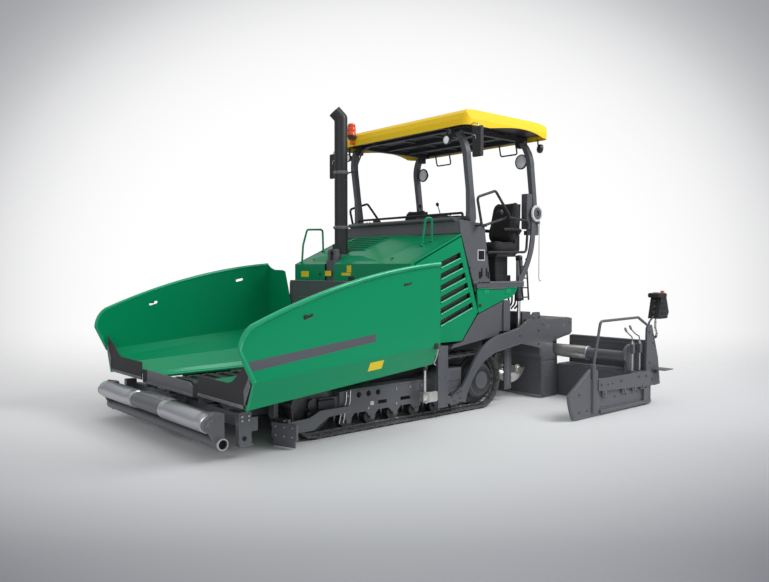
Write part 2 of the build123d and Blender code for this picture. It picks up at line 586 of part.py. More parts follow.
RAIL_Y = SIDE_Y + 18
hand = pipe([(-75, RAIL_Y, 2345), (-540, RAIL_Y, 2468), (-958, RAIL_Y, 2433),
             (-918, RAIL_Y, 2012), (-161, RAIL_Y, 2000)], 17, 60)
loop = pipe([(60, 1285, 2345), (146, 1285, 2683), (-202, 1285, 2786), (-497, 1285, 2470),
             (-497, RAIL_Y, 2456)], 17, 50)
side_rail = hand + loop + block(30, 90, SIDE_Y, 1300, 2325, 2345)
side_rail = side_rail + block(-100, -50, SIDE_Y, RAIL_Y + 18, 2325, 2345)
side_rail = side_rail + block(-185, -130, SIDE_Y, RAIL_Y + 18, 1985, 2015)
front_rail = pipe([(160, -1050, 2440), (160, -1050, 2500), (160, 1050, 2500), (160, 1050, 2440)],
                  16, 25)
save("platform_rails", *pair(side_rail), front_rail)

SEAT_X = -650.0
SEAT_Y = 905.0
SEAT_Z = 2010.0             # underside of the cushion


def seat_stand():
    """Swivel plate, bellows and slides under a seat."""
    plate = rounded(block(SEAT_X - 160, SEAT_X + 160, SEAT_Y - 150, SEAT_Y + 150, FLOOR_Z, 1700), 30, Axis.Z)
    bellows = rounded(block(SEAT_X - 130, SEAT_X + 130, SEAT_Y - 125, SEAT_Y + 125, 1700, 1950), 40, Axis.Z)
    slides = block(SEAT_X - 200, SEAT_X + 190, SEAT_Y - 190, SEAT_Y + 190, 1950, SEAT_Z)
    return plate + bellows + slides


def seat():
    """Seat: cushion, back with its head pad, and armrests."""
    cushion = rounded(block(SEAT_X - 250, SEAT_X + 250, SEAT_Y - 240, SEAT_Y + 240, SEAT_Z, SEAT_Z + 140), 45)
    edges = [curve((SEAT_X - 170, SEAT_Z + 120), (SEAT_X - 165, 2300), (SEAT_X - 225, 2560),
                   (SEAT_X - 250, 2700)),
             arc((SEAT_X - 250, 2700), (SEAT_X - 300, 2715), (SEAT_X - 335, 2690)),
             line((SEAT_X - 335, 2690), (SEAT_X - 275, SEAT_Z + 60), (SEAT_X - 200, SEAT_Z + 60),
                  (SEAT_X - 170, SEAT_Z + 120))]
    back = side_shape(edges, SEAT_Y - 215, SEAT_Y + 215)
    shape = cushion + back
    for side in (-1, 1):
        arm_y = SEAT_Y + side * 245
        arm = rounded(block(SEAT_X - 230, SEAT_X + 120, arm_y - 28, arm_y + 28, 2290, 2340), 18)
        link_y = SEAT_Y + side * 218
        shape = shape + arm + block(SEAT_X - 262, SEAT_X - 200, link_y - 20, link_y + 20, 2290, 2335)
    return shape


save("seat_bases", *pair(seat_stand()))
save("seats", *pair(seat()))

console = rounded(block(-560, -380, -160, 160, FLOOR_Z, 2300), 40, Axis.Z)
console_edges = [line((-1000, 2480), (-1000, 2300), (-330, 2300), (-250, 2440)),
                 arc((-250, 2440), (-245, 2530), (-310, 2550)),
                 line((-310, 2550), (-1000, 2480))]
console = console + side_shape(console_edges, -230, 230)
save("console", console)

# curved columns behind the seats, with the control cabinet on the left one
column_edges = [curve((-790, FLOOR_Z), (-860, 1740), (-960, 1900), (-1040, 2150), (-1068, 2400),
                      (-1080, 2589)),
                line((-1080, 2589), (-1110, 2589)),
                curve((-1110, 2589), (-1140, 2400), (-1120, 2100), (-1010, 1822), (-880, FLOOR_Z)),
                line((-880, FLOOR_Z), (-790, FLOOR_Z))]
column = side_shape(column_edges, SIDE_Y - 24, SIDE_Y - 2)
column = column + block(-900, -790, SIDE_Y - 40, SIDE_Y - 24, FLOOR_Z, 1900)
column = column + block(-860, -800, SIDE_Y - 24, SIDE_Y - 2, FLOOR_Z, 1700)

# ---------------------------------------------------------------- posts and roof
POST_TOP_Z = PIVOT_Z + POST_RISE


def post_shape(x, foot_width):
    """A post between its pivots: wide at its foot, bent inwards near its top."""
    top_x = x + POST_TOP_SHIFT
    side = side_shape(
        [line((x - 40, PIVOT_Z), (x - foot_width, PIVOT_Z + 60), (x - foot_width + 8, PIVOT_Z + 170),
              (x - 15, PIVOT_Z + 420), (top_x - 42, POST_TOP_Z), (top_x + 42, POST_TOP_Z),
              (x + 62, PIVOT_Z + 420), (x + foot_width - 6, PIVOT_Z + 170),
              (x + foot_width, PIVOT_Z + 60), (x + 40, PIVOT_Z), (x - 40, PIVOT_Z))], 0, ROOF_Y)
    low, top = POST_LOW_Y, POST_TOP_Y
    bend = Plane.YZ * make_face(Curve() + [
        Polyline((low - 36, PIVOT_Z), (low - 36, POST_TOP_Z - 330)),
        Spline((low - 36, POST_TOP_Z - 330), (low - 52, POST_TOP_Z - 160), (top - 35, POST_TOP_Z)),
        Polyline((top - 35, POST_TOP_Z), (top + 35, POST_TOP_Z)),
        Spline((top + 35, POST_TOP_Z), (low + 20, POST_TOP_Z - 150), (low + 36, POST_TOP_Z - 330)),
        Polyline((low + 36, POST_TOP_Z - 330), (low + 36, PIVOT_Z), (low - 36, PIVOT_Z))])
    shape = side & extrude(Pos(x - 300, 0, 0) * bend, amount=800, dir=(1, 0, 0))
    shape = shape + rod((x, low - 38, PIVOT_Z), (x, low + 38, PIVOT_Z), 46)
    shape = shape + rod((top_x, top - 35, POST_TOP_Z), (top_x, top + 35, POST_TOP_Z), 42)
    return shape


front_post = post_shape(POST_X[0], 62)
save("front_posts", *pair(front_post))
LAMP_Z = 3270.0
lamp_x = POST_X[1] + 20
lamp_y = POST_LOW_Y - 150
lamp = Pos(lamp_x + 40, lamp_y, LAMP_Z) * Rot(0, 90, 0) * Cone(62, 100, 60)
lamp = lamp + rod((lamp_x + 20, lamp_y, LAMP_Z), (lamp_x + 20, POST_LOW_Y - 20, LAMP_Z), 14)
save("rear_posts", *pair(post_shape(POST_X[1], 48) + lamp))

# pivot brackets that carry the posts, outside and inside each pivot
EAR = 11.0
EAR_GAP = 0.3


def pivot_ears(x, low_z):
    """Two ears beside a post's lower pivot."""
    ears = []
    for y in (POST_LOW_Y - 38 - EAR_GAP - EAR, POST_LOW_Y + 38 + EAR_GAP):
        edges = [line((x + 48, PIVOT_Z), (x + 48, low_z), (x - 48, low_z), (x - 48, PIVOT_Z)),
                 arc((x - 48, PIVOT_Z), (x, PIVOT_Z + 48), (x + 48, PIVOT_Z))]
        ears.append(side_shape(edges, y, y + EAR))
    return ears


EAR_Z = PIVOT_Z - 110
inner_ear, outer_ear = pivot_ears(POST_X[0], EAR_Z)
front_base = block(POST_X[0] - 48, POST_X[0] + 48, POST_LOW_Y - 50, SIDE_Y - 30, EAR_Z - 10, EAR_Z + 50)
save("front_post_feet", *pair(front_base + inner_ear))
inner_ear, outer_ear = pivot_ears(POST_X[1], EAR_Z)
rear_base = block(POST_X[1] - 48, -1041, POST_LOW_Y - 50, SIDE_Y - 24, EAR_Z - 10, EAR_Z + 50)
cabinet = rounded(block(-1110, -992, SIDE_Y - 130, SIDE_Y - 26, 2330, 2810), 12, Axis.Z)
cabinet = cabinet + block(-1105, -1080, SIDE_Y - 60, SIDE_Y - 24, 2340, 2580)
reel = rod((-1150, SIDE_Y - 2, 2545), (-1150, SIDE_Y + 30, 2545), 82, 40)
reel = reel + block(-1160, -1085, SIDE_Y - 2, SIDE_Y + 10, 2480, 2580)
right_column = flip(column + rear_base + inner_ear + outer_ear)
left_column = column + rear_base + inner_ear + outer_ear + cabinet + reel
save("rear_columns", left_column, right_column)


def roof_form(inset, low):
    """Roof body taken in by inset: a crowned side profile, a crowned front profile, round corners."""
    front, rear, side = ROOF_FRONT_X - inset, ROOF_REAR_X + inset, ROOF_Y - inset
    rim, crest = ROOF_Z0 + 75, ROOF_Z1 - inset
    lengthwise = side_shape(
        [line((rear, rim), (rear, low), (front, low), (front, rim), (front - 22, rim + 70 - inset),
              (front - 110, crest - 48)),
         arc((front - 110, crest - 48), (-420, crest), (rear + 90, crest - 42)),
         line((rear + 90, crest - 42), (rear + 14, rim + 75 - inset), (rear, rim))], -side, side)
    cross = Plane.YZ * make_face(Curve() + [
        Polyline((-side, rim), (-side, low), (side, low), (side, rim), (side - 22, rim + 70 - inset),
                 (side - 100, crest - 30)),
        ThreePointArc((side - 100, crest - 30), (0, crest + 4), (100 - side, crest - 30)),
        Polyline((100 - side, crest - 30), (22 - side, rim + 70 - inset), (-side, rim))])
    crosswise = extrude(Pos(rear, 0, 0) * cross, amount=front - rear, dir=(1, 0, 0))
    plan = Pos((front + rear) / 2, 0, low) * RectangleRounded(front - rear, 2 * side, 120 - inset)
    return lengthwise & crosswise & extrude(plan, amount=400, dir=(0, 0, 1))


shell = roof_form(0, ROOF_Z0) - roof_form(ROOF_SKIN, ROOF_Z0 - 60)
arch = side_shape([line((60, ROOF_Z0 - 10), (-1130, ROOF_Z0 - 10)),
                   curve((-1130, ROOF_Z0 - 10), (-1000, ROOF_Z0 + 30), (-640, ROOF_Z0 + 66),
                         (-240, ROOF_Z0 + 30), (60, ROOF_Z0 - 10))], -ROOF_Y - 50, ROOF_Y + 50)
save("roof_shell", shell - arch)

LINING_Z = ROOF_Z0 + 66
frame_side = beam((380, POST_TOP_Y - 70, 3570), (-1200, POST_TOP_Y - 70, 3570), 60, 60)
for x in POST_X:
    top_x = x + POST_TOP_SHIFT
    ear = block(top_x - 50, top_x + 50, POST_TOP_Y - 100, POST_TOP_Y - 35 - EAR_GAP, POST_TOP_Z - 46, 3560)
    frame_side = frame_side + ear
roof_frame = frame_side + flip(frame_side)
for x in (360, 150, -320, -760, -1180):
    roof_frame = roof_frame + block(x - 25, x + 25, -POST_TOP_Y + 40, POST_TOP_Y - 40, 3560, LINING_Z)
inner = Pos((ROOF_FRONT_X + ROOF_REAR_X) / 2, 0, LINING_Z) * RectangleRounded(
    ROOF_FRONT_X - ROOF_REAR_X - 2 * ROOF_SKIN, 2 * (ROOF_Y - ROOF_SKIN), 120 - ROOF_SKIN)
roof_frame = roof_frame + extrude(inner, amount=9, dir=(0, 0, 1))
for y in (-650, 650):
    hoop = pipe([(-1200, y - 150, 3560), (-1235, y - 150, 3410), (-1235, y + 150, 3410),
                 (-1200, y + 150, 3560)], 11, 30)
    roof_frame = roof_frame + hoop
# stay that ends beside the exhaust's collar
stay = pipe([(360, EXHAUST_Y, 3565), (400, EXHAUST_Y, 3515), (620, EXHAUST_Y - 10, 3400), (760, EXHAUST_Y, 3120),
             (EXHAUST_X - 104, EXHAUST_Y, 3078)], 11, 60)
roof_frame = roof_frame + stay
save("roof_frame", roof_frame)

mirror_face = rounded(block(300, 350, 1385, 1520, 3150, 3520), 18, Axis.Y)
mirror_arm = pipe([(325, 1390, 3500), (325, 1370, 3534), (325, 1000.8, 3552)], 10, 15)
save("roof_mirrors", *pair(mirror_face + mirror_arm))
front_lamp = Pos(380, 1000, 3400) * Rot(0, -90, 0) * Cone(56, 42, 44)
front_lamp = front_lamp + block(370, 390, 980, 1000, 3400, 3540)
save("roof_lamps", *pair(front_lamp))
BEACON = (478.0, -820.0)
beacon = rod((*BEACON, 3565), (*BEACON, 3700), 22)
beacon = beacon + Pos(*BEACON, 3717) * Cone(58, 52, 34)
beacon = beacon + Pos(*BEACON, 3797) * Cone(50, 42, 126)
beacon = beacon + block(ROOF_FRONT_X, BEACON[0], BEACON[1] - 22, BEACON[1] + 22, 3565, 3585)
save("roof_beacon", beacon)

STACK_R = 88.0
elbow = (EXHAUST_X, EXHAUST_Y, 3800)
outlet = (EXHAUST_X + 75, EXHAUST_Y - 45, 3895)
stack = rod((EXHAUST_X, EXHAUST_Y, EXHAUST_Z + 20), elbow, STACK_R) + rod(elbow, outlet, STACK_R)
stack = stack + Pos(*elbow) * Sphere(STACK_R)
collar = rod((EXHAUST_X, EXHAUST_Y, 3060), (EXHAUST_X, EXHAUST_Y, 3090), STACK_R + 8)
KNUCKLE = (EXHAUST_X + 120, EXHAUST_Z + 40)
knuckle = rod((KNUCKLE[0], EXHAUST_Y - 35.7, KNUCKLE[1]), (KNUCKLE[0], EXHAUST_Y + 35.7, KNUCKLE[1]), 30)
knuckle = knuckle + block(EXHAUST_X + 82, KNUCKLE[0] + 2, EXHAUST_Y - 30, EXHAUST_Y + 30,
                          KNUCKLE[1], KNUCKLE[1] + 100)
save("exhaust_stack", stack + collar + knuckle - rod(elbow, outlet, STACK_R - 8))
socket = rod((EXHAUST_X, EXHAUST_Y, 1500), (EXHAUST_X, EXHAUST_Y, EXHAUST_Z + 12), STACK_R, STACK_R - 7)
for y in (EXHAUST_Y - 90, EXHAUST_Y + 36):
    horn_edges = [line((KNUCKLE[0] + 60, 1630), (KNUCKLE[0] - 24, 1630), (KNUCKLE[0] - 24, KNUCKLE[1])),
                  arc((KNUCKLE[0] - 24, KNUCKLE[1]), (KNUCKLE[0] + 10, KNUCKLE[1] + 36),
                      (KNUCKLE[0] + 36, KNUCKLE[1])),
                  line((KNUCKLE[0] + 36, KNUCKLE[1]), (KNUCKLE[0] + 60, 1630))]
    socket = socket + side_shape(horn_edges, y, y + 54)
socket = socket + block(KNUCKLE[0] - 36, KNUCKLE[0] + 60, EXHAUST_Y - 90, EXHAUST_Y + 90, 1630, 1900)
save("exhaust_bracket", socket)

# ---------------------------------------------------------------- tow points, arms and lift
GUIDE_Y = ARM_OUT + 6       # inner face of the guide plates
GUIDE = (712.0, 880.0)
guide = block(*GUIDE, GUIDE_Y, GUIDE_Y + 32, 130, 866)
guide = guide + block(*GUIDE, CHASSIS_Y + 36, GUIDE_Y + 32, 790, 862)
yoke = rounded(block(GUIDE[1], TOW_ROD_X + 45, ARM_IN, GUIDE_Y + 32, 800, 862), 8, Axis.Z)
barrel = rod((TOW_ROD_X, TOW_Y, 620), (TOW_ROD_X, TOW_Y, 862), 30)
tow_guide = guide + yoke + barrel - rod((TOW_ROD_X, TOW_Y, 600), (TOW_ROD_X, TOW_Y, 856), 18.06)
save("tow_guides", *pair(tow_guide))

slider = rounded(block(GUIDE[1] + 6, TOW_ROD_X + 55, ARM_IN, GUIDE_Y + 32, 220, 340), 20)
slider = slider - block(GUIDE[1], TOW_ROD_X - 15, ARM_IN - 6, TOW_Y, 190, 360)
slider = slider + rod((TOW_ROD_X, TOW_Y, 340), (TOW_ROD_X, TOW_Y, 650), 18)
slider = slider + rod((TOW_X, TOW_Y, TOW_Z), (TOW_X, ARM_IN + 8, TOW_Z), 24)
save("tow_sliders", *pair(slider))

# tow arm: a swan's neck over the drive housing
arm_edges = [line((620, 130), (642, 196), (413, 330)),
             curve((413, 330), (286, 503), (138, 704), (-51, 842), (-284, 929)),
             line((-284, 929), (-692, 998), (-904, 1107), (-1012, 1197), (-1120, 1197), (-1157, 1080),
                  (-1157, 700), (-994, 736), (-736, 788), (-528, 756), (-226, 713)),
             curve((-226, 713), (6, 617), (175, 468), (322, 257)),
             line((322, 257), (358, 160), (620, 130))]
arm = side_shape(arm_edges, ARM_IN, ARM_OUT)
tongue = side_plate([(620, 150), (TOW_X + 40, TOW_Z - 40), (TOW_X + 40, TOW_Z + 40), (600, 240)],
                    ARM_IN, ARM_OUT)
arm = arm + tongue - rod((TOW_X, ARM_IN - 60, TOW_Z), (TOW_X, ARM_OUT + 60, TOW_Z), 24.06)
arm_root = block(-1157, -1100, SCREED_Y - 75, ARM_OUT, 700, 1080)
lug = block(LIFT_X - 45, LIFT_X + 45, LIFT_Y - 30, ARM_IN, 880, 904)
save("side_arms", *pair(arm + arm_root + lug))

# lift cylinders: the barrels hang on the deck, the rods' eyes stand over the arms' lugs
LIFT_LOW = 970 + LIFT_RISE + 6
lift_tube = rod((LIFT_X, LIFT_Y, LIFT_LOW), (LIFT_X, LIFT_Y, 1960), 40)
lift_tube = lift_tube + block(LIFT_X - 50, FLOOR_REAR_X, LIFT_Y - 30, LIFT_Y + 30, 1560, 1600)
lift_tube = lift_tube - rod((LIFT_X, LIFT_Y, LIFT_LOW - 10), (LIFT_X, LIFT_Y, 1950), 24.06)
save("lift_barrels", *pair(lift_tube))
lift_rod = rod((LIFT_X, LIFT_Y, 950), (LIFT_X, LIFT_Y, 1500), 24)
lift_rod = lift_rod + rod((LIFT_X, LIFT_Y - 25, 940), (LIFT_X, LIFT_Y + 25, 940), 30)
save("lift_rods", *pair(lift_rod))

# ---------------------------------------------------------------- auger
auger_plate = block(-760, -620, 1080, 1100, 160, 720)
hanger = block(-700, -640, 560, 620, 620, 840)
auger_frame = block(-720, -640, -1100, 1100, 640, 700) + auger_plate + flip(auger_plate)
gear = block(-985, -760, -40, 40, 330, 700) + block(-760, -720, -40, 40, 640, 700)
auger_frame = auger_frame + gear + hanger + flip(hanger)
hook = block(-945, -760, 1080, 1100, 372, 452)
auger_frame = auger_frame + hook + flip(hook)
for y0, y1 in ((40, 80), (1050, 1080)):
    stub = rod((AUGER_X, y0, AUGER_Z), (AUGER_X, y1, AUGER_Z), 20)
    auger_frame = auger_frame + stub + flip(stub)
save("auger_frame", auger_frame)


def auger():
    """Shaft with a helical flight, from beside the gearbox to the outer bearing."""
    shaft = rod((AUGER_X, 46, AUGER_Z), (AUGER_X, 1074, AUGER_Z), 45, 20.06)
    start = Plane(origin=(AUGER_X, 60, AUGER_Z), x_dir=(1, 0, 0), z_dir=(0, 1, 0))
    blade = start * Pos((AUGER_R + 38) / 2, 0) * Rectangle(AUGER_R - 38, 16)
    flight = Solid.extrude_linear_with_rotation(
        blade.faces()[0], (AUGER_X, 60, AUGER_Z), Vector(0, 1000, 0), 360 * 2.5)
    return shaft + flight


left_auger = auger()
save("left_auger", left_auger)
save("right_auger", flip(left_auger))

# ---------------------------------------------------------------- screed
screed_edges = [
    line((-1210, SCREED_Z), (SCREED_X1, 40), (SCREED_X1, 560), (-1157, 620), (-1157, 1080),
         (SCREED_X0, 1080), (SCREED_X0, 880), (-1860, 845)),
    arc((-1860, 845), (-1660, 815), (-1450, 770)),
    line((-1450, 770), (-1450, 620), (-1556, 560), (-1556, SCREED_Z), (-1210, SCREED_Z))]
body = side_shape(screed_edges, -SCREED_Y, SCREED_Y)
body = body + block(-1300, -1120, -1000, 1000, 1000, 1180)
body = body + block(TUBE_X - TUBE_OUT_R - 12, -1440, -100, 100, 520, 850)
body = body - rod((TUBE_X, -SCREED_Y - 10, TUBE_Z), (TUBE_X, SCREED_Y + 10, TUBE_Z), TUBE_R[0] + 2)
body = body + block(-1480, -1440, -100, 100, 600, 845)
for y in (600.0, 1096.0):
    stay = block(TUBE_X - TUBE_OUT_R - 28, -1440, y, y + 40, 500, 850)
    stay = stay - rod((TUBE_X, y - 10, TUBE_Z), (TUBE_X, y + 60, TUBE_Z), TUBE_R[0])
    body = body + stay + flip(stay)
for x in (-1700, -1330):
    eye = rod((x, SCREED_Y - 40, 985), (x, SCREED_Y + 10, 985), 26)
    body = body - eye - flip(eye)
save("screed_body", body)

fixed_tube = rod((TUBE_X, 20, TUBE_Z), (TUBE_X, 1136, TUBE_Z), TUBE_R[0], TUBE_R[1] + 0.08)
save("fixed_tubes", *pair(fixed_tube))
mid_tube = rod((TUBE_X, 700, TUBE_Z), (TUBE_X, 1760, TUBE_Z), TUBE_R[1], TUBE_R[2] + 0.08)
save("left_mid_tube", mid_tube)
save("right_mid_tube", flip(mid_tube))

# extension: ground box with a raised rear wall, its tube and the outer carrier
EXT_IN = 1240.0
extension_edges = [
    line((-1590, SCREED_Z), (-1590, 380)), arc((-1590, 380), (-1604, 430), (-1660, 450)),
    line((-1660, 450), (-1900, 450), (-1900, 830), (-1950, 830), (-1950, 60), (-1920, SCREED_Z),
         (-1590, SCREED_Z))]
extension = side_shape(extension_edges, EXT_IN, EXT_Y)
extension = extension + rod((TUBE_X, 1300, TUBE_Z), (TUBE_X, 2330, TUBE_Z), TUBE_R[2])
carrier = side_shape([line((-1910, 430), (-1570, 430), (-1570, 568), (-1500, 608), (-1500, TUBE_Z)),
                      arc((-1500, TUBE_Z), (-1570, 770), (-1700, 800)),
                      line((-1700, 800), (-1910, 800), (-1910, 430))], 2320, 2360)
extension = extension + carrier
# screw jacks that set the extension's height
for x, foot in ((-1780.0, 450.0), (-1604.0, 420.0)):
    y = EXT_Y - 30
    jack = rod((x, y, foot - 20), (x, y, 830), 13)
    jack = jack + rounded(block(x - 26, x + 26, y - 20, y + 26, 690, 810), 6, Axis.Z)
    extension = extension + jack + block(x - 20, x + 20, y - 60, y, 440, 470)
save("left_extension", extension)
save("right_extension", flip(extension))

# end plate: a pointed shoe, its bar, the tall upright and the hand rail
shoe = side_shape([line((-1968, 12), (-426, 2), (-222, 15)), arc((-222, 15), (-150, 160), (-120, 310)),
                   line((-120, 310), (-564, 583), (-564, 460), (-1968, 400), (-1968, 12))],
                  EXT_Y, EXT_Y + 30)
bar = side_plate([(-700, 310), (-700, 450), (-1860, 450), (-2070, 360), (-2070, 243)],
                 EXT_Y + 30, EXT_Y + 60)
for x in (-900, -1000):
    bar = bar - rod((x, EXT_Y + 20, 370), (x, EXT_Y + 70, 370), 13)
ledge = block(-1940, -760, EXT_Y + 30, EXT_Y + 52, 30, 70) + block(-1850, -1750, EXT_Y + 30, EXT_Y + 60, 70, 230)
upright = side_shape([line((-1850, 400), (-1870, 1000)), arc((-1870, 1000), (-1900, 1035), (-1990, 1040)),
                      line((-1990, 1040), (-2150, 600), (-2210, 240), (-1968, 240), (-1850, 400))],
                     EXT_Y, EXT_Y + 30)
for step in range(4):
    notch = block(-2030 - step * 18, -1998 - step * 18, EXT_Y - 5, EXT_Y + 35,
                  900 - step * 48, 918 - step * 48)
    upright = upright - notch
post = rounded(block(-650, -590, EXT_Y + 2, EXT_Y + 58, 60, 640), 20, Axis.Z)
hand = pipe([(-620, EXT_Y + 30, 600), (-769, EXT_Y + 30, 1150), (-1645, EXT_Y + 24, 1159),
             (-1940, EXT_Y + 17, 1020), (-1940, EXT_Y + 17, 960)], 17, 60)
foot = block(-1960, -1920, EXT_Y, EXT_Y + 34, 930, 970)
step = block(-2200, -1980, EXT_Y + 30, 2660, 452, 464) + block(-2110, -2070, EXT_Y, EXT_Y + 60, 400, 452)
step = step + block(-2110, -2070, EXT_Y + 30, EXT_Y + 60, 452, 464)
end = shoe + bar + ledge + upright + post + hand + foot + step
save("left_end_plate", end)
save("right_end_plate", flip(end))
arm = pipe([(-1965, EXT_Y - 12, 960), (-1985, EXT_Y - 12, 1080), (-2110, EXT_Y - 12, 1160)], 12, 30)
panel = side_shape([line((-2090, 1120), (-2330, 1140), (REAR_REACH, 1200), (-2290, 1440)),
                    arc((-2290, 1440), (-2260, 1462), (-2200, 1458)),
                    line((-2200, 1458), (-2170, 1440), (-2090, 1120))], EXT_Y - 90, EXT_Y + 60)
save("left_control_box", arm + panel)
save("right_control_box", flip(arm + panel))
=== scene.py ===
"""Looks of a crawler asphalt paver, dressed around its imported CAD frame.

Everything is in metres: +X forward to the hopper, +Y left, +Z up from the ground. Pieces are drawn
with X counted from the track sprocket's axis, and add_mesh moves them to row coordinates.
"""

import json
import logging
import math
from dataclasses import dataclass
from enum import Enum
from typing import Optional, Sequence, Union

import bmesh
import bpy
import numpy as np
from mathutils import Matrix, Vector


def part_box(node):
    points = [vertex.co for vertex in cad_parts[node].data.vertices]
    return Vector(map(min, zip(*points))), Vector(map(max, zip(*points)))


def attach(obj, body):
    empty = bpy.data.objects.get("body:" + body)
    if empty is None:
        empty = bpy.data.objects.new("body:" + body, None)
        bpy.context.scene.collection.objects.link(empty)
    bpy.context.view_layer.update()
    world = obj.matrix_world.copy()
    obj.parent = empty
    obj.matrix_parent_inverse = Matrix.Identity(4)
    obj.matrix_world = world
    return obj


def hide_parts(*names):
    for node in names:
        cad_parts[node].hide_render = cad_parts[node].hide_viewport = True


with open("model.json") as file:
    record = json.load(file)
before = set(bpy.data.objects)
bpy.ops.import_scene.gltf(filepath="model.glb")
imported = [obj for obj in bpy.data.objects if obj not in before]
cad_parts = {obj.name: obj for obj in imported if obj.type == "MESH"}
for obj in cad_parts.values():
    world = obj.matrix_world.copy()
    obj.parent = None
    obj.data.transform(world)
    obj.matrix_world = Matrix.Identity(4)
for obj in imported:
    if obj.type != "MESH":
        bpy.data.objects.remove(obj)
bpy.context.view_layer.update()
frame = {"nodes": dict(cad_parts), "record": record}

logging.basicConfig(level=logging.INFO, format="%(message)s")
log = logging.getLogger("paver")

Point = Sequence[float]
Pairs = Sequence[tuple[float, float]]
Colour = tuple[float, float, float]
Socket = bpy.types.NodeSocket
Value = Union[float, Sequence[float], Socket]
TRACTOR = "tractor"
SIDES = (("left", 1), ("right", -1))
AHEAD, LEFT, UP, DOWN = (1, 0, 0), (0, 1, 0), (0, 0, 1), (0, 0, -1)
TURN = 2 * math.pi


def sprocket_axis() -> float:
    """Row X of the sprocket's axis, half the track's height ahead of the track's rear end."""
    low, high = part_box("left_track")
    return low.x + high.z / 2


SPROCKET_X = sprocket_axis()


# ---------------------------------------------------------------- surfaces
def unit(rows: np.ndarray) -> np.ndarray:
    """Each row of an array divided by its length."""
    return rows / np.linalg.norm(rows, axis=-1)[..., None]


def run_of(path: np.ndarray) -> np.ndarray:
    """Arc length at each point of a path, from 0."""
    return np.r_[0, np.cumsum(np.linalg.norm(np.diff(path, axis=0), axis=1))]


def circle(count: int) -> tuple[np.ndarray, np.ndarray]:
    """Cosines and sines of `count` even steps round a full turn."""
    t = np.linspace(0, TURN, count, endpoint=False)
    return np.cos(t), np.sin(t)


def area_sign(p: np.ndarray) -> float:
    """1 if a closed outline runs anticlockwise, else -1, from the sign of its area."""
    area = np.sum(p[:, 0] * np.roll(p[:, 1], -1) - np.roll(p[:, 0], -1) * p[:, 1])
    return 1.0 if area > 0 else -1.0


def quads(rows: int, cols: int, wrap_u: bool, wrap_v: bool) -> np.ndarray:
    """Faces of a grid of points, numbered row by row.

    Args:
        rows: points along the first parameter.
        cols: points along the second parameter.
        wrap_u: the last row joins the first.
        wrap_v: the last column joins the first.

    Returns:
        An array of four point numbers per face.
    """
    i = np.arange(rows if wrap_u else rows - 1)
    j = np.arange(cols if wrap_v else cols - 1)
    a, b = np.meshgrid(i, j, indexing="ij")
    c, d = (a + 1) % rows, (b + 1) % cols
    return np.stack([a * cols + b, c * cols + b, c * cols + d, a * cols + d], -1).reshape(-1, 4)


def stand(name: str, data: bpy.types.ID) -> bpy.types.Object:
    """Makes an object and links it to the scene.

    Args:
        name: the object's name.
        data: a mesh, curve, light or camera.

    Returns:
        The new object.
    """
    thing = bpy.data.objects.new(name, data)
    bpy.context.scene.collection.objects.link(thing)
    return thing


def add_mesh(name: str, points: np.ndarray, faces: list, body: str, finish: "Finish",
        smooth: float) -> bpy.types.Object:
    """Makes an object from points and faces, dresses it and lets it ride on a body.

    Doubled points are merged and faces turned outwards.

    Args:
        name: the piece's name.
        points: an (n, 3) array, X counted from the sprocket's axis.
        faces: tuples of point numbers.
        body: the CAD body that the piece moves with.
        finish: the finish of the whole piece.
        smooth: faces that meet at less than this angle, in degrees, shade as one surface.

    Returns:
        The new object.
    """
    mesh = bpy.data.meshes.new(name)
    mesh.from_pydata((points + [SPROCKET_X, 0, 0]).tolist(), [], faces)
    mesh.validate()
    work = bmesh.new()
    work.from_mesh(mesh)
    bmesh.ops.remove_doubles(work, verts=work.verts, dist=1e-6)
    bmesh.ops.recalc_face_normals(work, faces=work.faces)
    work.to_mesh(mesh)
    work.free()
    mesh.shade_smooth()
    mesh.set_sharp_from_angle(angle=math.radians(smooth))
    thing = stand(name, mesh)
    mesh.materials.append(finish.material())
    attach(thing, body)
    return thing


class Axis(Enum):
    """The axis across a plate: which of (first, second, across) gives each of x, y and z."""

    X = [2, 0, 1]
    Y = [0, 2, 1]


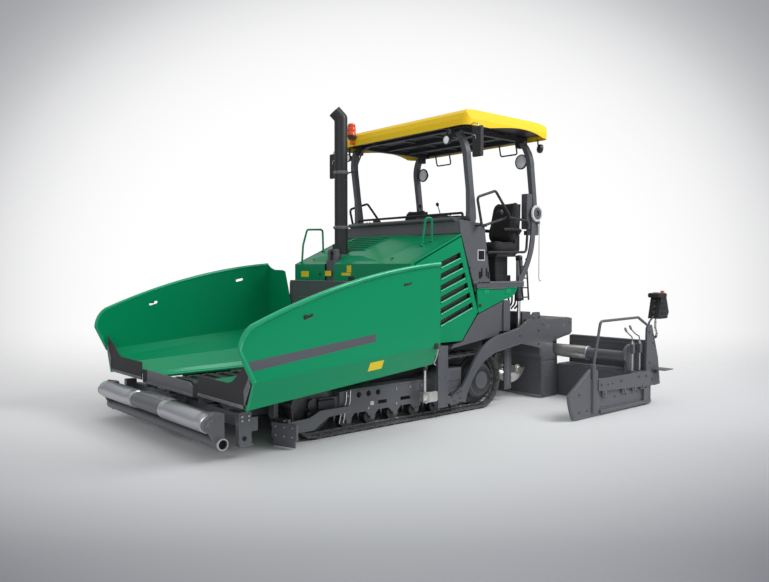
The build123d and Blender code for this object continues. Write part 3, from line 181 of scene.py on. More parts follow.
class Batch:
    """Several shells gathered into one piece."""

    def __init__(self) -> None:
        """Starts empty."""
        self.points: list[np.ndarray] = []
        self.faces: list[tuple[int, ...]] = []
        self.count = 0

    def shell(self, points: np.ndarray, faces: Sequence[Sequence[int]]) -> "Batch":
        """Adds one shell.

        Args:
            points: its points, in any shape that ends in 3.
            faces: tuples of point numbers.

        Returns:
            This batch.
        """
        flat = np.asarray(points, float).reshape(-1, 3)
        self.points.append(flat)
        self.faces += [tuple(int(k) + self.count for k in face) for face in faces]
        self.count += len(flat)
        return self

    def grid(self, points: np.ndarray, wrap_u: bool = False, caps: bool = True) -> "Batch":
        """Adds rows of closed loops.

        Args:
            points: a (rows, columns, 3) array.
            wrap_u: the last row joins the first.
            caps: flat faces close the first and the last row.

        Returns:
            This batch.
        """
        points = np.asarray(points, float)
        rows, cols = points.shape[:2]
        faces = [tuple(f) for f in quads(rows, cols, wrap_u, True)]
        if caps:
            faces.append(tuple(range(cols))[::-1])
            faces.append(tuple((rows - 1) * cols + k for k in range(cols)))
        return self.shell(points, faces)

    def mirrored(self) -> "Batch":
        """Mirrors everything so far in Y.

        Returns:
            The mirrored copy; this batch stays as it is.
        """
        other = Batch()
        other.points = [shell * [1.0, -1.0, 1.0] for shell in self.points]
        other.faces = [face[::-1] for face in self.faces]
        other.count = self.count
        return other

    def both(self) -> "Batch":
        """Adds the mirrored copy.

        Returns:
            This batch.
        """
        other = self.mirrored()
        self.points += other.points
        self.faces += [tuple(k + self.count for k in face) for face in other.faces]
        self.count *= 2
        return self

    def make(self, name: str, finish: "Finish", body: str = TRACTOR,
            smooth: float = 40.0) -> bpy.types.Object:
        """Makes the piece; see add_mesh."""
        return add_mesh(name, np.vstack(self.points), self.faces, body, finish, smooth)

    def twins(self, name: str, finish: "Finish", body: str = "") -> list[bpy.types.Object]:
        """Makes left_NAME and its mirrored right_NAME, each on its side's body or the tractor."""
        return [(self if sign > 0 else self.mirrored()).make(f"{side}_{name}", finish,
            f"{side}_{body}" if body else TRACTOR) for side, sign in SIDES]


def rounded(width: float, depth: float, corner: float, steps: int = 3) -> np.ndarray:
    """Closed rectangle profile whose corners are quarter circles.

    Args:
        width: its size along the first axis.
        depth: its size along the second axis.
        corner: the corners' radius.
        steps: runs in each quarter circle.

    Returns:
        A (points, 2) array.
    """
    t = np.linspace(0, math.pi / 2, steps + 1)
    arc = np.stack([np.cos(t), np.sin(t)], -1) * corner
    parts = []
    for k, (sx, sy) in enumerate(((1, 1), (-1, 1), (-1, -1), (1, -1))):
        c, s = (math.cos(k * math.pi / 2), math.sin(k * math.pi / 2))
        turned = np.stack([arc[:, 0] * c - arc[:, 1] * s, arc[:, 0] * s + arc[:, 1] * c], -1)
        parts.append(turned + [sx * (width / 2 - corner), sy * (depth / 2 - corner)])
    return np.vstack(parts)


def bent(points: Sequence[Point], bend: float, steps: int = 5) -> np.ndarray:
    """A path of straight runs whose corners are rounded.

    Each inner corner is replaced by a quadratic curve from a point `bend` before it to a point
    `bend` after it, with the corner as its middle control point.

    Args:
        points: the path's corners.
        bend: how far from a corner its curve starts and ends.
        steps: runs in each curve.

    Returns:
        An (n, 3) array.
    """
    p = np.asarray(points, float)
    out = [p[:1]]
    t = np.linspace(0, 1, steps + 1)[:, None]
    for a, b, c in zip(p[:-2], p[1:-1], p[2:]):
        u, v = a - b, c - b
        lu, lv = np.linalg.norm(u), np.linalg.norm(v)
        r = min(bend, 0.45 * lu, 0.45 * lv)
        start, end = b + u / lu * r, b + v / lv * r
        out.append((1 - t) ** 2 * start + 2 * t * (1 - t) * b + t ** 2 * end)
    out.append(p[-1:])
    return np.vstack(out)


def sweep(path: np.ndarray, profile: np.ndarray, up: Point = UP) -> np.ndarray:
    """Carries a closed profile along a path.

    At each path point the tangent is the mean of its two runs; the profile's first axis lies along
    the cross product of the tangent and `up`, its second along the cross product of the first
    axis and the tangent.

    Args:
        path: a (points, 3) array.
        profile: an (n, 2) array, the closed loop's points.
        up: a direction that the path never follows.

    Returns:
        A (points, profile, 3) array.
    """
    p = np.asarray(path, float)
    run = unit(np.diff(p, axis=0))
    tangent = unit(np.vstack([run[:1], run[:-1] + run[1:], run[-1:]]))
    side = unit(np.cross(tangent, np.asarray(up, float)))
    over = np.cross(side, tangent)
    return p[:, None] + profile[None, :, :1] * side[:, None] + profile[None, :, 1:] * over[:, None]


def tube(batch: Batch, points: Sequence[Point], radius: float, bend: float = 0.05,
        sides: int = 16) -> Batch:
    """Adds a bent round bar, which is a circle carried along a path.

    Args:
        batch: where it goes.
        points: corners of its centre line.
        radius: its radius.
        bend: how far from a corner the bar starts to bend.
        sides: faces round it.

    Returns:
        The batch.
    """
    path = bent(points, bend) if len(points) > 2 else np.asarray(points, float)
    nearly_up = (0.013, 0.017, 1)
    return batch.grid(sweep(path, radius * np.stack(circle(sides), -1), nearly_up))


def turned(batch: Batch, start: Point, end: Point, profile: Pairs, sides: int = 32,
        hollow: bool = False) -> Batch:
    """Adds a body of revolution about the line from start to end.

    At distance d along the line the points are start + d axis + r (cos t, sin t) across the axis.

    Args:
        batch: where it goes.
        start: where the line starts.
        end: a point further along the line.
        profile: (distance, radius) pairs; the radius may be 0 at the ends.
        sides: faces round it.
        hollow: the profile is a closed loop round the wall, and the middle stays open.

    Returns:
        The batch.
    """
    a, b = np.asarray(start, float), np.asarray(end, float)
    axis = unit(b - a)
    u = unit(np.cross(axis, UP if abs(axis[2]) < 0.9 else AHEAD))
    v = np.cross(axis, u)
    c, s = circle(sides)
    way = c[:, None] * u + s[:, None] * v
    along = np.array([s for s, _ in profile])[:, None, None]
    radius = np.array([max(r, 1e-5) for _, r in profile])[:, None, None]
    return batch.grid(a + along * axis + radius * way[None], wrap_u=hollow, caps=not hollow)


def slab(batch: Batch, low: Point, high: Point, corner: float = 0.004) -> Batch:
    """Adds a chamfered box.

    Args:
        batch: where it goes.
        low: its lowest corner.
        high: its highest corner.
        corner: how far its edges are chamfered.

    Returns:
        The batch.
    """
    lo, hi = np.asarray(low, float), np.asarray(high, float)
    size = hi - lo
    c = min(corner, 0.45 * size.min())
    profile = rounded(size[0], size[1], c, 2)
    inner = profile * (1 - c / (np.array(size[:2]) / 2))
    levels = [(lo[2], inner), (lo[2] + c, profile), (hi[2] - c, profile), (hi[2], inner)]
    middle = (lo + hi)[:2] / 2
    return batch.grid([np.column_stack([shape + middle, np.full(len(shape), z)]) for z,
        shape in levels])


def plate(batch: Batch, outline: Pairs, low: float, high: float, axis: Axis = Axis.Y,
        bevel: float = 0.003) -> Batch:
    """Adds a flat plate with chamfered rims.

    Args:
        batch: where it goes.
        outline: the plate's corners, (x, z) for axis Y and (y, z) for axis X.
        low: its first face along the axis.
        high: its second face along the axis.
        axis: the axis across the plate.
        bevel: how far the rim is chamfered.

    Returns:
        The batch.
    """
    p = np.asarray(outline, float)
    before, after = unit(p - np.roll(p, 1, 0)), unit(np.roll(p, -1, 0) - p)
    n = np.stack([before[:, 1], -before[:, 0]], -1) + np.stack([after[:, 1], -after[:, 0]], -1)
    n /= np.maximum(np.linalg.norm(n, axis=1), 0.3)[:, None]
    inner = p - n * area_sign(p) * bevel
    b = min(bevel, (high - low) * 0.4)
    rows = [(low, inner), (low + b, p), (high - b, p), (high, inner)]
    grid = np.stack([np.column_stack([q, np.full(len(q), s)]) for s, q in rows])
    return batch.grid(grid[:, :, axis.value])


def bolts(batch: Batch, spots: Sequence[Point], normal: Point = LEFT, radius: float = 0.011,
        height: float = 0.008) -> Batch:
    """Adds hexagon heads that stand on a face.

    Args:
        batch: where they go.
        spots: the middle of each head's foot.
        normal: the face's normal.
        radius: from the middle of a head to its corners.
        height: how far the heads stand out.

    Returns:
        The batch.
    """
    n, sunk = unit(np.asarray(normal, float)), 0.002
    for spot in spots:
        base = np.asarray(spot, float)
        turned(batch, base - n * sunk, base + n * height, [(0, radius),
            (sunk + height * 0.8, radius), (sunk + height, radius * 0.8)], 6)
    return batch


# ---------------------------------------------------------------- finishes
class Tree:
    """Short ways to grow a node tree; where one takes a value, that is a constant or a socket."""

    def __init__(self, tree: bpy.types.NodeTree) -> None:
        """Grows the given tree."""
        self.tree = tree

    def feed(self, socket: Socket, value: Value) -> None:
        """Links a socket to another one or sets its constant.

        Args:
            socket: the input.
            value: a constant or the socket to link.
        """
        if isinstance(value, Socket):
            self.tree.links.new(value, socket)
        else:
            socket.default_value = value

    def node(self, kind: str, inputs: Optional[dict] = None, **settings: object) -> bpy.types.Node:
        """Adds a shader node.

        Args:
            kind: its type, without the prefix ShaderNode.
            inputs: values by input name or number.
            **settings: values by property name.

        Returns:
            The node.
        """
        node = self.tree.nodes.new(f"ShaderNode{kind}")
        for key, value in settings.items():
            setattr(node, key, value)
        for key, value in (inputs or {}).items():
            self.feed(node.inputs[key], value)
        return node

    def math(self, kind: str, first: Value, second: Value) -> Socket:
        """The result of a sum on two values."""
        return self.node("Math", {0: first, 1: second}, operation=kind).outputs["Value"]

    def vector(self, kind: str, inputs: Sequence, result: str = "Vector") -> Socket:
        """The result of a vector sum on one or two values."""
        return self.node("VectorMath", dict(enumerate(inputs)), operation=kind).outputs[result]

    def span(self, value: Value, low: float, high: float, kind: str = "LINEAR") -> Socket:
        """A value's share of the way from low to high, kept between 0 and 1."""
        return self.node("MapRange", {"Value": value, "From Min": low, "From Max": high},
            interpolation_type=kind).outputs["Result"]

    def step(self, value: Value, low: float, high: float) -> Socket:
        """A smooth step of a value from 0 at low to 1 at high."""
        return self.span(value, low, high, "SMOOTHSTEP")

    def ramp(self, value: Value, stops: Pairs) -> Socket:
        """Maps a value through a curve.

        Args:
            value: what to map.
            stops: (value, result) pairs.

        Returns:
            The result.
        """
        curve = self.node("FloatCurve")
        points = curve.mapping.curves[0].points
        while len(points) < len(stops):
            points.new(0.5, 0.5)
        for point, stop in zip(points, stops):
            point.location = stop
        curve.mapping.update()
        self.feed(curve.inputs["Value"], value)
        return curve.outputs["Value"]

    def toward(self, plain: float, tone: Value, share: Value) -> Socket:
        """Moves from a plain constant to a tone by a share."""
        gap = self.math("SUBTRACT", tone, plain)
        return self.math("ADD", self.math("MULTIPLY", gap, share), plain)

    def tinted(self, tone: Value) -> Socket:
        """Makes a grey that turns slightly blue where it is darker.

        Args:
            tone: the grey, from 0 to 1.

        Returns:
            The colour.
        """
        mix = self.node("CombineColor")
        for number, power in enumerate((1.0, 0.99, 0.94)):
            self.feed(mix.inputs[number], self.math("POWER", tone, power))
        return mix.outputs["Color"]

    def blend(self, share: Value, first: Socket, second: Socket, output: str) -> None:
        """Shows the second shader over the first by a share."""
        both = self.node("MixShader", {"Fac": share, 1: first, 2: second})
        self.feed(self.tree.nodes[output].inputs["Surface"], both.outputs["Shader"])


def grime_and_highlight_group() -> bpy.types.NodeTree:
    """Shared effect: speckled grain, dust that lies on faces that look up, and edge wear that also
    serves as painted highlight.

    Two noises in object space give Grain; Dust is the upward part of the normal times a broad
    noise; Edge is how far a bevelled normal leans from the true one, broken by a noise.

    Returns:
        The node group, made at the first call.
    """
    found = bpy.data.node_groups.get("grime_and_highlight")
    if found:
        return found
    group = bpy.data.node_groups.new("grime_and_highlight", "ShaderNodeTree")
    face, number = group.interface, "NodeSocketFloat"
    for name, value in (("Scale", 18.0), ("Edge width", 0.006)):
        face.new_socket(name, in_out="INPUT", socket_type=number).default_value = value
    for name in ("Grain", "Dust", "Edge"):
        face.new_socket(name, in_out="OUTPUT", socket_type=number)
    tree = Tree(group)
    given = group.nodes.new("NodeGroupInput").outputs
    out = group.nodes.new("NodeGroupOutput").inputs
    place = tree.node("TexCoord").outputs["Object"]
    fine = tree.node("TexNoise", {"Vector": place, "Scale": given["Scale"], "Detail": 4})
    broad = tree.node("TexNoise", {"Vector": place, "Scale": 2.4, "Detail": 5}).outputs["Fac"]
    shape = tree.node("NewGeometry").outputs
    upward = tree.node("SeparateXYZ", {"Vector": shape["Normal"]}).outputs["Z"]
    dust = tree.math("MULTIPLY", tree.span(upward, 0.3, 1.0), broad)
    soft = tree.node("Bevel", {"Radius": given["Edge width"]}, samples=4).outputs["Normal"]
    lean = tree.vector("DOT_PRODUCT", (soft, shape["True Normal"]), "Value")
    # Edge mask: edge wear, and painted highlights where the edge colour is a lighter tone of the
    # same paint.
    edge_wear_and_highlight = tree.math("MULTIPLY", tree.span(lean, 0.995, 0.86), broad)
    for name, value in (("Grain", fine.outputs["Fac"]), ("Dust", dust), ("Edge", edge_wear_and_highlight)):
        tree.feed(out[name], value)
    return group


@dataclass(frozen=True)
class Finish:
    """One painted, bare or rubber finish.

    Colours are linear. `dust` and `edge` mix in their colours by the shared masks; the edge colour
    marks edge wear and also paints highlights on edges.
    """

    name: str
    colour: Colour
    rough: float = 0.45
    metal: float = 0.0
    coat: float = 0.0
    grain: float = 0.06
    bump: float = 0.0
    dust: float = 0.0
    dust_colour: Colour = (0.32, 0.3, 0.27)
    edge: float = 0.0
    edge_wear_highlight_colour: Colour = (0.35, 0.35, 0.36)
    scale: float = 18.0
    slot: str = ""
    shine: float = 0.35
    tint: Colour = (1.0, 1.0, 1.0)

    def material(self) -> bpy.types.Material:
        """Builds the material at the first call.

        Returns:
            The material.
        """
        name = f"finish_{self.name}"
        found = bpy.data.materials.get(name)
        if found:
            return found
        made = bpy.data.materials.new(name)
        made.use_nodes = True
        tree = Tree(made.node_tree)
        shader = made.node_tree.nodes["Principled BSDF"].inputs
        masks = tree.node("Group", {"Scale": self.scale}, node_tree=grime_and_highlight_group()).outputs
        low = tuple(c * (1 - self.grain) for c in self.colour)
        high = tuple(min(c * (1 + self.grain) + self.grain * 0.004, 1.0) for c in self.colour)
        tone = self.mixed(tree, low, high, masks["Grain"])
        if self.dust:
            mask = tree.math("MULTIPLY", masks["Dust"], self.dust)
            tone = self.mixed(tree, tone, self.dust_colour, mask)
        # Edges take the edge colour: wear, and painted highlights.
        if self.edge:
            mask = tree.math("MULTIPLY", masks["Edge"], self.edge)
            tone = self.mixed(tree, tone, self.edge_wear_highlight_colour, mask)
        rough = tree.node("MapRange", {"Value": masks["Grain"],
            "To Min": max(self.rough - 0.4 * self.grain, 0.02),
            "To Max": min(self.rough + 0.5 * self.grain, 1.0)})
        for key, value in (("Metallic", self.metal), ("Coat Weight", self.coat),
                ("Coat Roughness", 0.12), ("Specular IOR Level", self.shine),
                ("Specular Tint", (*self.tint, 1)), ("Base Color", tone),
                ("Roughness", rough.outputs["Result"])):
            tree.feed(shader[key], value)
        if self.bump:
            bump = tree.node("Bump", {"Height": masks["Grain"], "Strength": self.bump,
                "Distance": 0.002})
            tree.feed(shader["Normal"], bump.outputs["Normal"])
        return made

    @staticmethod
    def mixed(tree: Tree, low: Value, high: Value, mask: Socket) -> Socket:
        """Mixes two colours or links by a mask."""
        low, high = ((*v, 1) if isinstance(v, tuple) else v for v in (low, high))
        return tree.node("Mix", {"Factor": mask, 6: low, 7: high}, data_type="RGBA").outputs[2]


# Body paint; its lighter green edge colour is a painted highlight on edges.
GREEN = Finish("body_green", (0.0, 0.245, 0.1), rough=0.32, coat=0.15, grain=0.02, edge=0.2,
    edge_wear_highlight_colour=(0.05, 0.42, 0.22), shine=0.4, tint=(0.3, 1.0, 0.7), slot="body_green")
# Lit copy of the body green, lighter and glossier: a painted highlight on rims, bars, straps and
# handle feet.
LIT_GREEN = Finish("lit_green", (0.0, 0.3, 0.13), rough=0.3, coat=0.4, grain=0.02, shine=0.5,
    tint=(0.4, 1.0, 0.8), slot="body_green")
GREY = Finish("anthracite_paint", (0.094, 0.099, 0.11), rough=0.36, coat=0.15, grain=0.07, edge=0.7,
    edge_wear_highlight_colour=(0.34, 0.35, 0.37), dust=0.05, slot="anthracite_paint")
APRON = Finish("dark_apron", (0.03, 0.03, 0.032), rough=0.62, grain=0.12, bump=0.2,
    slot="dark_apron")
PALE_GREY = Finish("light_grey_paint", (0.125, 0.131, 0.142), rough=0.36, grain=0.08, edge=0.8,
    edge_wear_highlight_colour=(0.5, 0.5, 0.52), slot="light_grey_paint")
# Light edges on the track steel: partly wear, partly painted highlight.
BLACK_STEEL = Finish("track_black", (0.026, 0.027, 0.029), rough=0.36, grain=0.25, edge=0.9,
    edge_wear_highlight_colour=(0.36, 0.36, 0.37), shine=0.6, slot="track_black")
BLACK = Finish("black_tube", (0.026, 0.027, 0.03), rough=0.4, grain=0.1, edge=0.5,
    edge_wear_highlight_colour=(0.14, 0.145, 0.15), slot="black_tube")
VINYL = Finish("seat_vinyl", (0.014, 0.014, 0.015), rough=0.55, grain=0.15, bump=0.25, scale=90,
    slot="seat_vinyl")
STEEL = Finish("bright_steel", (0.66, 0.65, 0.62), rough=0.28, metal=0.85, grain=0.06,
    slot="bright_steel")
YELLOW = Finish("roof_yellow", (0.86, 0.57, 0.02), rough=0.45, grain=0.02, shine=0.15,
    slot="roof_yellow")
RED = Finish("beacon_red", (0.72, 0.07, 0.012), rough=0.2, coat=0.4, grain=0.05, slot="beacon_red")
RUBBER = Finish("pad_rubber", (0.02, 0.02, 0.021), rough=0.7, grain=0.2, bump=0.3, dust=0.1,
    slot="track_black")
# Light edges on the links: partly wear, partly painted highlight.
CHAIN = Finish("chain_steel", (0.11, 0.112, 0.118), rough=0.32, metal=0.7, grain=0.3, edge=0.9,
    edge_wear_highlight_colour=(0.6, 0.6, 0.61), slot="track_black")
ZINC = Finish("zinc_plated", (0.5, 0.51, 0.52), rough=0.32, metal=1.0, grain=0.08,
    slot="bright_steel")
ROLLER_STEEL = Finish("roller_steel", (0.5, 0.51, 0.54), rough=0.3, metal=0.8, grain=0.0,
    slot="light_grey_paint")
GUARD_STEEL = Finish("guard_steel", (0.05, 0.052, 0.056), rough=0.4, metal=0.4, grain=0.3, edge=0.6,
    edge_wear_highlight_colour=(0.4, 0.4, 0.41), slot="anthracite_paint")
# Darker copy of the anthracite paint: painted shade of the engine bay.
ENGINE_SHADED = Finish("engine_shaded", (0.012, 0.012, 0.014), rough=0.5, grain=0.3, edge=0.5,
    slot="anthracite_paint")
WORN_STEEL = Finish("worn_steel", (0.3, 0.3, 0.31), rough=0.36, metal=0.9, grain=0.16,
    slot="bright_steel")
BAND_GREY = Finish("band_grey", (0.072, 0.079, 0.094), rough=0.38, coat=0.4, grain=0.02,
    slot="anthracite_paint")
STICKER = Finish("sticker_yellow", (0.8, 0.6, 0.02), rough=0.4, grain=0.02, slot="roof_yellow")
PALE_SIGN = Finish("pale_sign", (0.55, 0.57, 0.59), rough=0.4, grain=0.02, slot="light_grey_paint")
LENS = Finish("lamp_lens", (0.88, 0.9, 0.92), rough=0.12, coat=0.6, grain=0.06, slot="bright_steel")
MIRROR = Finish("mirror_glass", (0.75, 0.76, 0.78), rough=0.04, metal=1.0, grain=0.01,
    slot="bright_steel")
SEAT_CLOTH = Finish("seat_cloth", (0.02, 0.02, 0.022), rough=0.8, grain=0.25, bump=0.3, scale=220,
    slot="seat_vinyl")
SEAM = Finish("green_seam", (0.0, 0.06, 0.028), rough=0.5, grain=0.04, slot="body_green")
MESH = Finish("dark_screen", (0.012, 0.013, 0.014), rough=0.6, grain=0.2, slot="track_black")
SCREEN = Finish("screen_glass", (0.006, 0.007, 0.009), rough=0.12, coat=0.6, grain=0.02,
    slot="black_tube")
# Near-black fill: painted shade in slots, holes and pipe mouths.
SHADE_FILL = Finish("deep_shadow", (0.004, 0.004, 0.005), rough=0.9, grain=0.02, slot="black_tube")
BRASS = Finish("bearing_metal", (0.42, 0.4, 0.36), rough=0.4, metal=0.8, grain=0.15,
    slot="bright_steel")
FINISH_OF_SLOT = {one.slot: one for one in (GREEN, GREY, APRON, PALE_GREY, BLACK_STEEL, BLACK,
    VINYL, STEEL, YELLOW, RED)}


# ---------------------------------------------------------------- crawler tracks
@dataclass
class Tracks:
    """Shoes with rubber pads on rows of links, sprocket teeth, roller rims and drive covers."""

    rear_radius: float = 0.369
    front_radius: float = 0.35
    reach: float = 2.56
    count: int = 48
    inner: float = 0.945
    outer: float = 1.245
    roller_z: float = 0.132
    roller_x: tuple[float, ...] = (0.42, 0.76, 1.1, 1.44, 1.78, 2.12)

    def along(self, shares: np.ndarray) -> tuple[np.ndarray, np.ndarray]:
        """Place and direction of points of the track's outer line.

        The line is four runs: the ground from sprocket to idler, the idler's half circle, the
        straight top and the sprocket's half circle; s is the arc length from the sprocket.

        Args:
            shares: s of each point as a share of the whole line.

        Returns:
            (n, 2) points (along, z), and (n, 2) unit tangents in the walking direction.
        """
        tilt = math.asin((self.rear_radius - self.front_radius) / self.reach)
        runs = np.array([self.reach, self.front_radius * (math.pi - tilt), self.reach,
            self.rear_radius * (math.pi + tilt)])
        ends = np.cumsum(runs)
        s = shares * ends[-1]
        t1 = -math.pi / 2 + (s - ends[0]) / self.front_radius
        t2 = (s - ends[1]) / runs[2]
        t3 = math.pi / 2 - tilt + (s - ends[2]) / self.rear_radius
        up = np.array([math.sin(tilt), math.cos(tilt)])
        a = np.array([self.reach, self.front_radius]) + self.front_radius * up
        b = np.array([0.0, self.rear_radius]) + self.rear_radius * up
        picks = [s < ends[0], s < ends[1], s < ends[2]]
        x = np.select(picks, [s, self.reach + self.front_radius * np.cos(t1),
            a[0] + (b[0] - a[0]) * t2], self.rear_radius * np.cos(t3))
        z = np.select(picks, [0 * s, self.front_radius * (1 + np.sin(t1)),
            a[1] + (b[1] - a[1]) * t2], self.rear_radius * (1 + np.sin(t3)))
        tx = np.select(picks, [1 + 0 * s, -np.sin(t1), 0 * s - math.cos(tilt)], -np.sin(t3))
        tz = np.select(picks, [0 * s, np.cos(t1), 0 * s + math.sin(tilt)], np.cos(t3))
        return np.stack([x, z], -1), np.stack([tx, tz], -1)

    def repeat(self, one: Batch) -> Batch:
        """Places a copy of a piece at every shoe.

        The piece is drawn as (t, y, n): t along the track, n out from its outer line. Each point
        goes to place + t * tangent + n * normal, with the normal a quarter turn clockwise from
        the tangent.

        Args:
            one: the piece at one shoe.

        Returns:
            The pieces at all shoes.
        """
        at, way = self.along(np.arange(self.count) / self.count)
        normal = np.stack([way[:, 1], -way[:, 0]], -1)
        local = np.vstack(one.points)
        x = at[:, :1] + local[:, 0] * way[:, :1] + local[:, 2] * normal[:, :1]
        z = at[:, 1:] + local[:, 0] * way[:, 1:] + local[:, 2] * normal[:, 1:]
        y = np.broadcast_to(local[:, 1], x.shape)
        out = Batch()
        for k in range(self.count):
            out.shell(np.stack([x[k], y[k], z[k]], -1), one.faces)
        return out

    def build(self) -> None:
        """Builds both tracks and their wheels' details."""
        middle = (self.inner + self.outer) / 2
        half = (self.outer - self.inner) / 2 - 0.001
        shoe = Batch()
        slab(shoe, (-0.073, middle - half, -0.034), (0.073, middle + half, -0.019), 0.003)
        slab(shoe, (0.06, middle - half, -0.03), (0.078, middle + half, -0.012), 0.003)
        rubber = Batch()
        for y in (middle - half / 2 - 0.004, middle + half / 2 + 0.004):
            slab(rubber, (-0.05, y - half / 2 + 0.012, -0.021),
                (0.048, y + half / 2 - 0.012, -0.0035), 0.009)
        links = Batch()
        shape = [(-0.092, -0.05), (-0.084, -0.041), (-0.045, -0.034), (0.045, -0.034),
            (0.07, -0.043), (0.084, -0.052), (0.07, -0.064), (0.03, -0.064), (0.012, -0.058),
            (-0.012, -0.058), (-0.03, -0.064), (-0.078, -0.064)]
        for y in (middle - 0.062, middle - 0.038, middle + 0.024, middle + 0.048):
            plate(links, shape, y, y + 0.014)
        turned(links, (0.077, middle - 0.066, -0.052), (0.077, middle + 0.066, -0.052),
            [(0, 0.011), (0.132, 0.011)], 10)
        for t in (-0.035, 0.035):
            for y in (middle - 0.105, middle + 0.105):
                bolts(links, [(t, y, -0.034)], DOWN, 0.01, 0.009)
        for (side, _), made in zip(SIDES, self.repeat(shoe).twins("track_shoes", BLACK_STEEL)):
            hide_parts(f"{side}_track")
        self.repeat(rubber).twins("track_pads", RUBBER)
        self.repeat(links).twins("track_links", CHAIN)
        self.teeth()
        self.rollers()
        log.info("tracks: %d shoes a side", self.count)

    def teeth(self) -> None:
        """Sprocket rims: r = 0.294 + 0.013 clip(1.6 sin 24 a, -1, 1), so the teeth have flats."""
        a = np.linspace(0, TURN, 288, endpoint=False)
        r = 0.294 + 0.013 * np.clip(1.6 * np.sin(24 * a), -1, 1)
        outline = np.stack([r * np.cos(a), self.rear_radius + r * np.sin(a)], -1)
        wheel = Batch()
        plate(wheel, outline, 1.08, 1.11, bevel=0.002)
        wheel.both().make("sprocket_teeth", BLACK_STEEL)

    def rollers(self) -> None:
        """Flanges, hubs and grease caps of the track rollers, and the idler's rim."""
        rims = Batch()
        for x in self.roller_x:
            z = self.roller_z
            turned(rims, (x, 1.012, z), (x, 1.16, z), [(0, 0.05), (0, 0.08), (0.016, 0.082),
                (0.024, 0.069), (0.06, 0.0685), (0.078, 0.0685), (0.118, 0.069), (0.126, 0.082),
                (0.142, 0.08), (0.146, 0.034), (0.146, 0.0)], 28)
        z = self.front_radius
        turned(rims, (self.reach, 1.06, z), (self.reach, 1.13, z),
            [(0, 0.22), (0.008, 0.262), (0.012, 0.272), (0.03, 0.278), (0.04, 0.278),
            (0.058, 0.272), (0.062, 0.262), (0.07, 0.22), (0.052, 0.12), (0.052, 0.0)], 48)
        rims.both().make("roller_rims", BLACK_STEEL)
        caps = Batch()
        for x in self.roller_x:
            z = self.roller_z
            turned(caps, (x, 1.186, z), (x, 1.2, z), [(0, 0.03), (0.01, 0.028), (0.014, 0.014)], 20)
        caps.both().make("roller_caps", GREY)
        dome = Batch()
        turned(dome, (0.0, 1.112, 0.369), (0.0, 1.2, 0.369), [(0, 0.23), (0, 0.233), (0.07, 0.2292),
            (0.092, 0.216), (0.1125, 0.191), (0.123, 0.15), (0.1292, 0.101), (0.131, 0.05),
            (0.1315, 0.0)], 56)
        dome.both().make("drive_cover_skins", GREY)


@dataclass
class SideFrames:
    """Bolts, bare plates, ribs, grease lines and idler guards on the track frames."""

    face: float = 1.19

    def build(self) -> None:
        """Builds both sides."""
        heads = Batch()
        spots = [(x, self.face, 0.405) for x in (1.02, 1.2, 1.42, 2.12)]
        spots += [(x, self.face, 0.235) for x in (1.0, 1.42, 1.84, 2.12)]
        bolts(heads, spots, LEFT, 0.013, 0.011)
        heads.both().make("track_frame_bolts", ZINC)
        plates = Batch()
        slab(plates, (1.755, self.face - 0.001, 0.262), (1.805, self.face + 0.002, 0.305), 0.001)
        slab(plates, (0.392, self.face - 0.001, 0.434), (0.548, self.face + 0.002, 0.52), 0.001)
        plates.both().make("bare_sign_plates", PALE_SIGN)
        seams = Batch()
        tube(seams, [(0.4, 1.192, 0.3), (0.64, 1.192, 0.262), (0.88, 1.192, 0.216)], 0.004, 0.03, 8)
        slab(seams, (0.9, 1.188, 0.448), (2.07, 1.197, 0.456), 0.003)
        slab(seams, (0.33, 1.17, 0.4), (0.6, 1.199, 0.55), 0.012)
        seams.both().make("track_frame_ribs", GREY)
        hoses = Batch()
        for x, top in ((2.2, 0.46), (2.255, 0.45)):
            path = [(x, 1.205, 0.12), (x - 0.02, 1.212, 0.24), (x - 0.09, 1.212, 0.33),
                (x - 0.1, 1.205, top)]
            tube(hoses, path, 0.0075, 0.05, 12)
        hoses.both().make("grease_lines", ZINC)
        pump = Batch()
        slab(pump, (2.42, 1.165, 0.14), (2.66, 1.2, 0.3), 0.014)
        slab(pump, (2.3, 1.17, 0.3), (2.52, 1.196, 0.4), 0.02)
        bolts(pump, [(x, 1.2, z) for x in (2.45, 2.63) for z in (0.165, 0.275)], LEFT, 0.011, 0.008)
        pump.both().make("idler_guards", BLACK)
        log.info("side frames: bolts, plates, grease lines")


@dataclass
class Deflectors:
    """Bolts of the track ploughs."""

    def build(self) -> None:
        """Builds the bolts on both ploughs."""
        heads = Batch()
        a, b = np.array((3.085, 1.18, 0.0)), np.array((2.985, 1.47, 0.0))
        c = np.array((2.95, 0.96, 0.0))
        for p, q in ((a, b), (c, a)):
            way = unit(q - p)
            out = np.array([way[1], -way[0], 0.0])
            out *= np.sign(out[0])
            for share in np.linspace(0.16, 0.84, 3):
                for z in (0.125, 0.215):
                    spot = p + (q - p) * share + [0, 0, z]
                    bolts(heads, [spot], out, 0.011, 0.009)
        heads.both().make("plough_bolts", ZINC)
        log.info("deflectors: bolts")


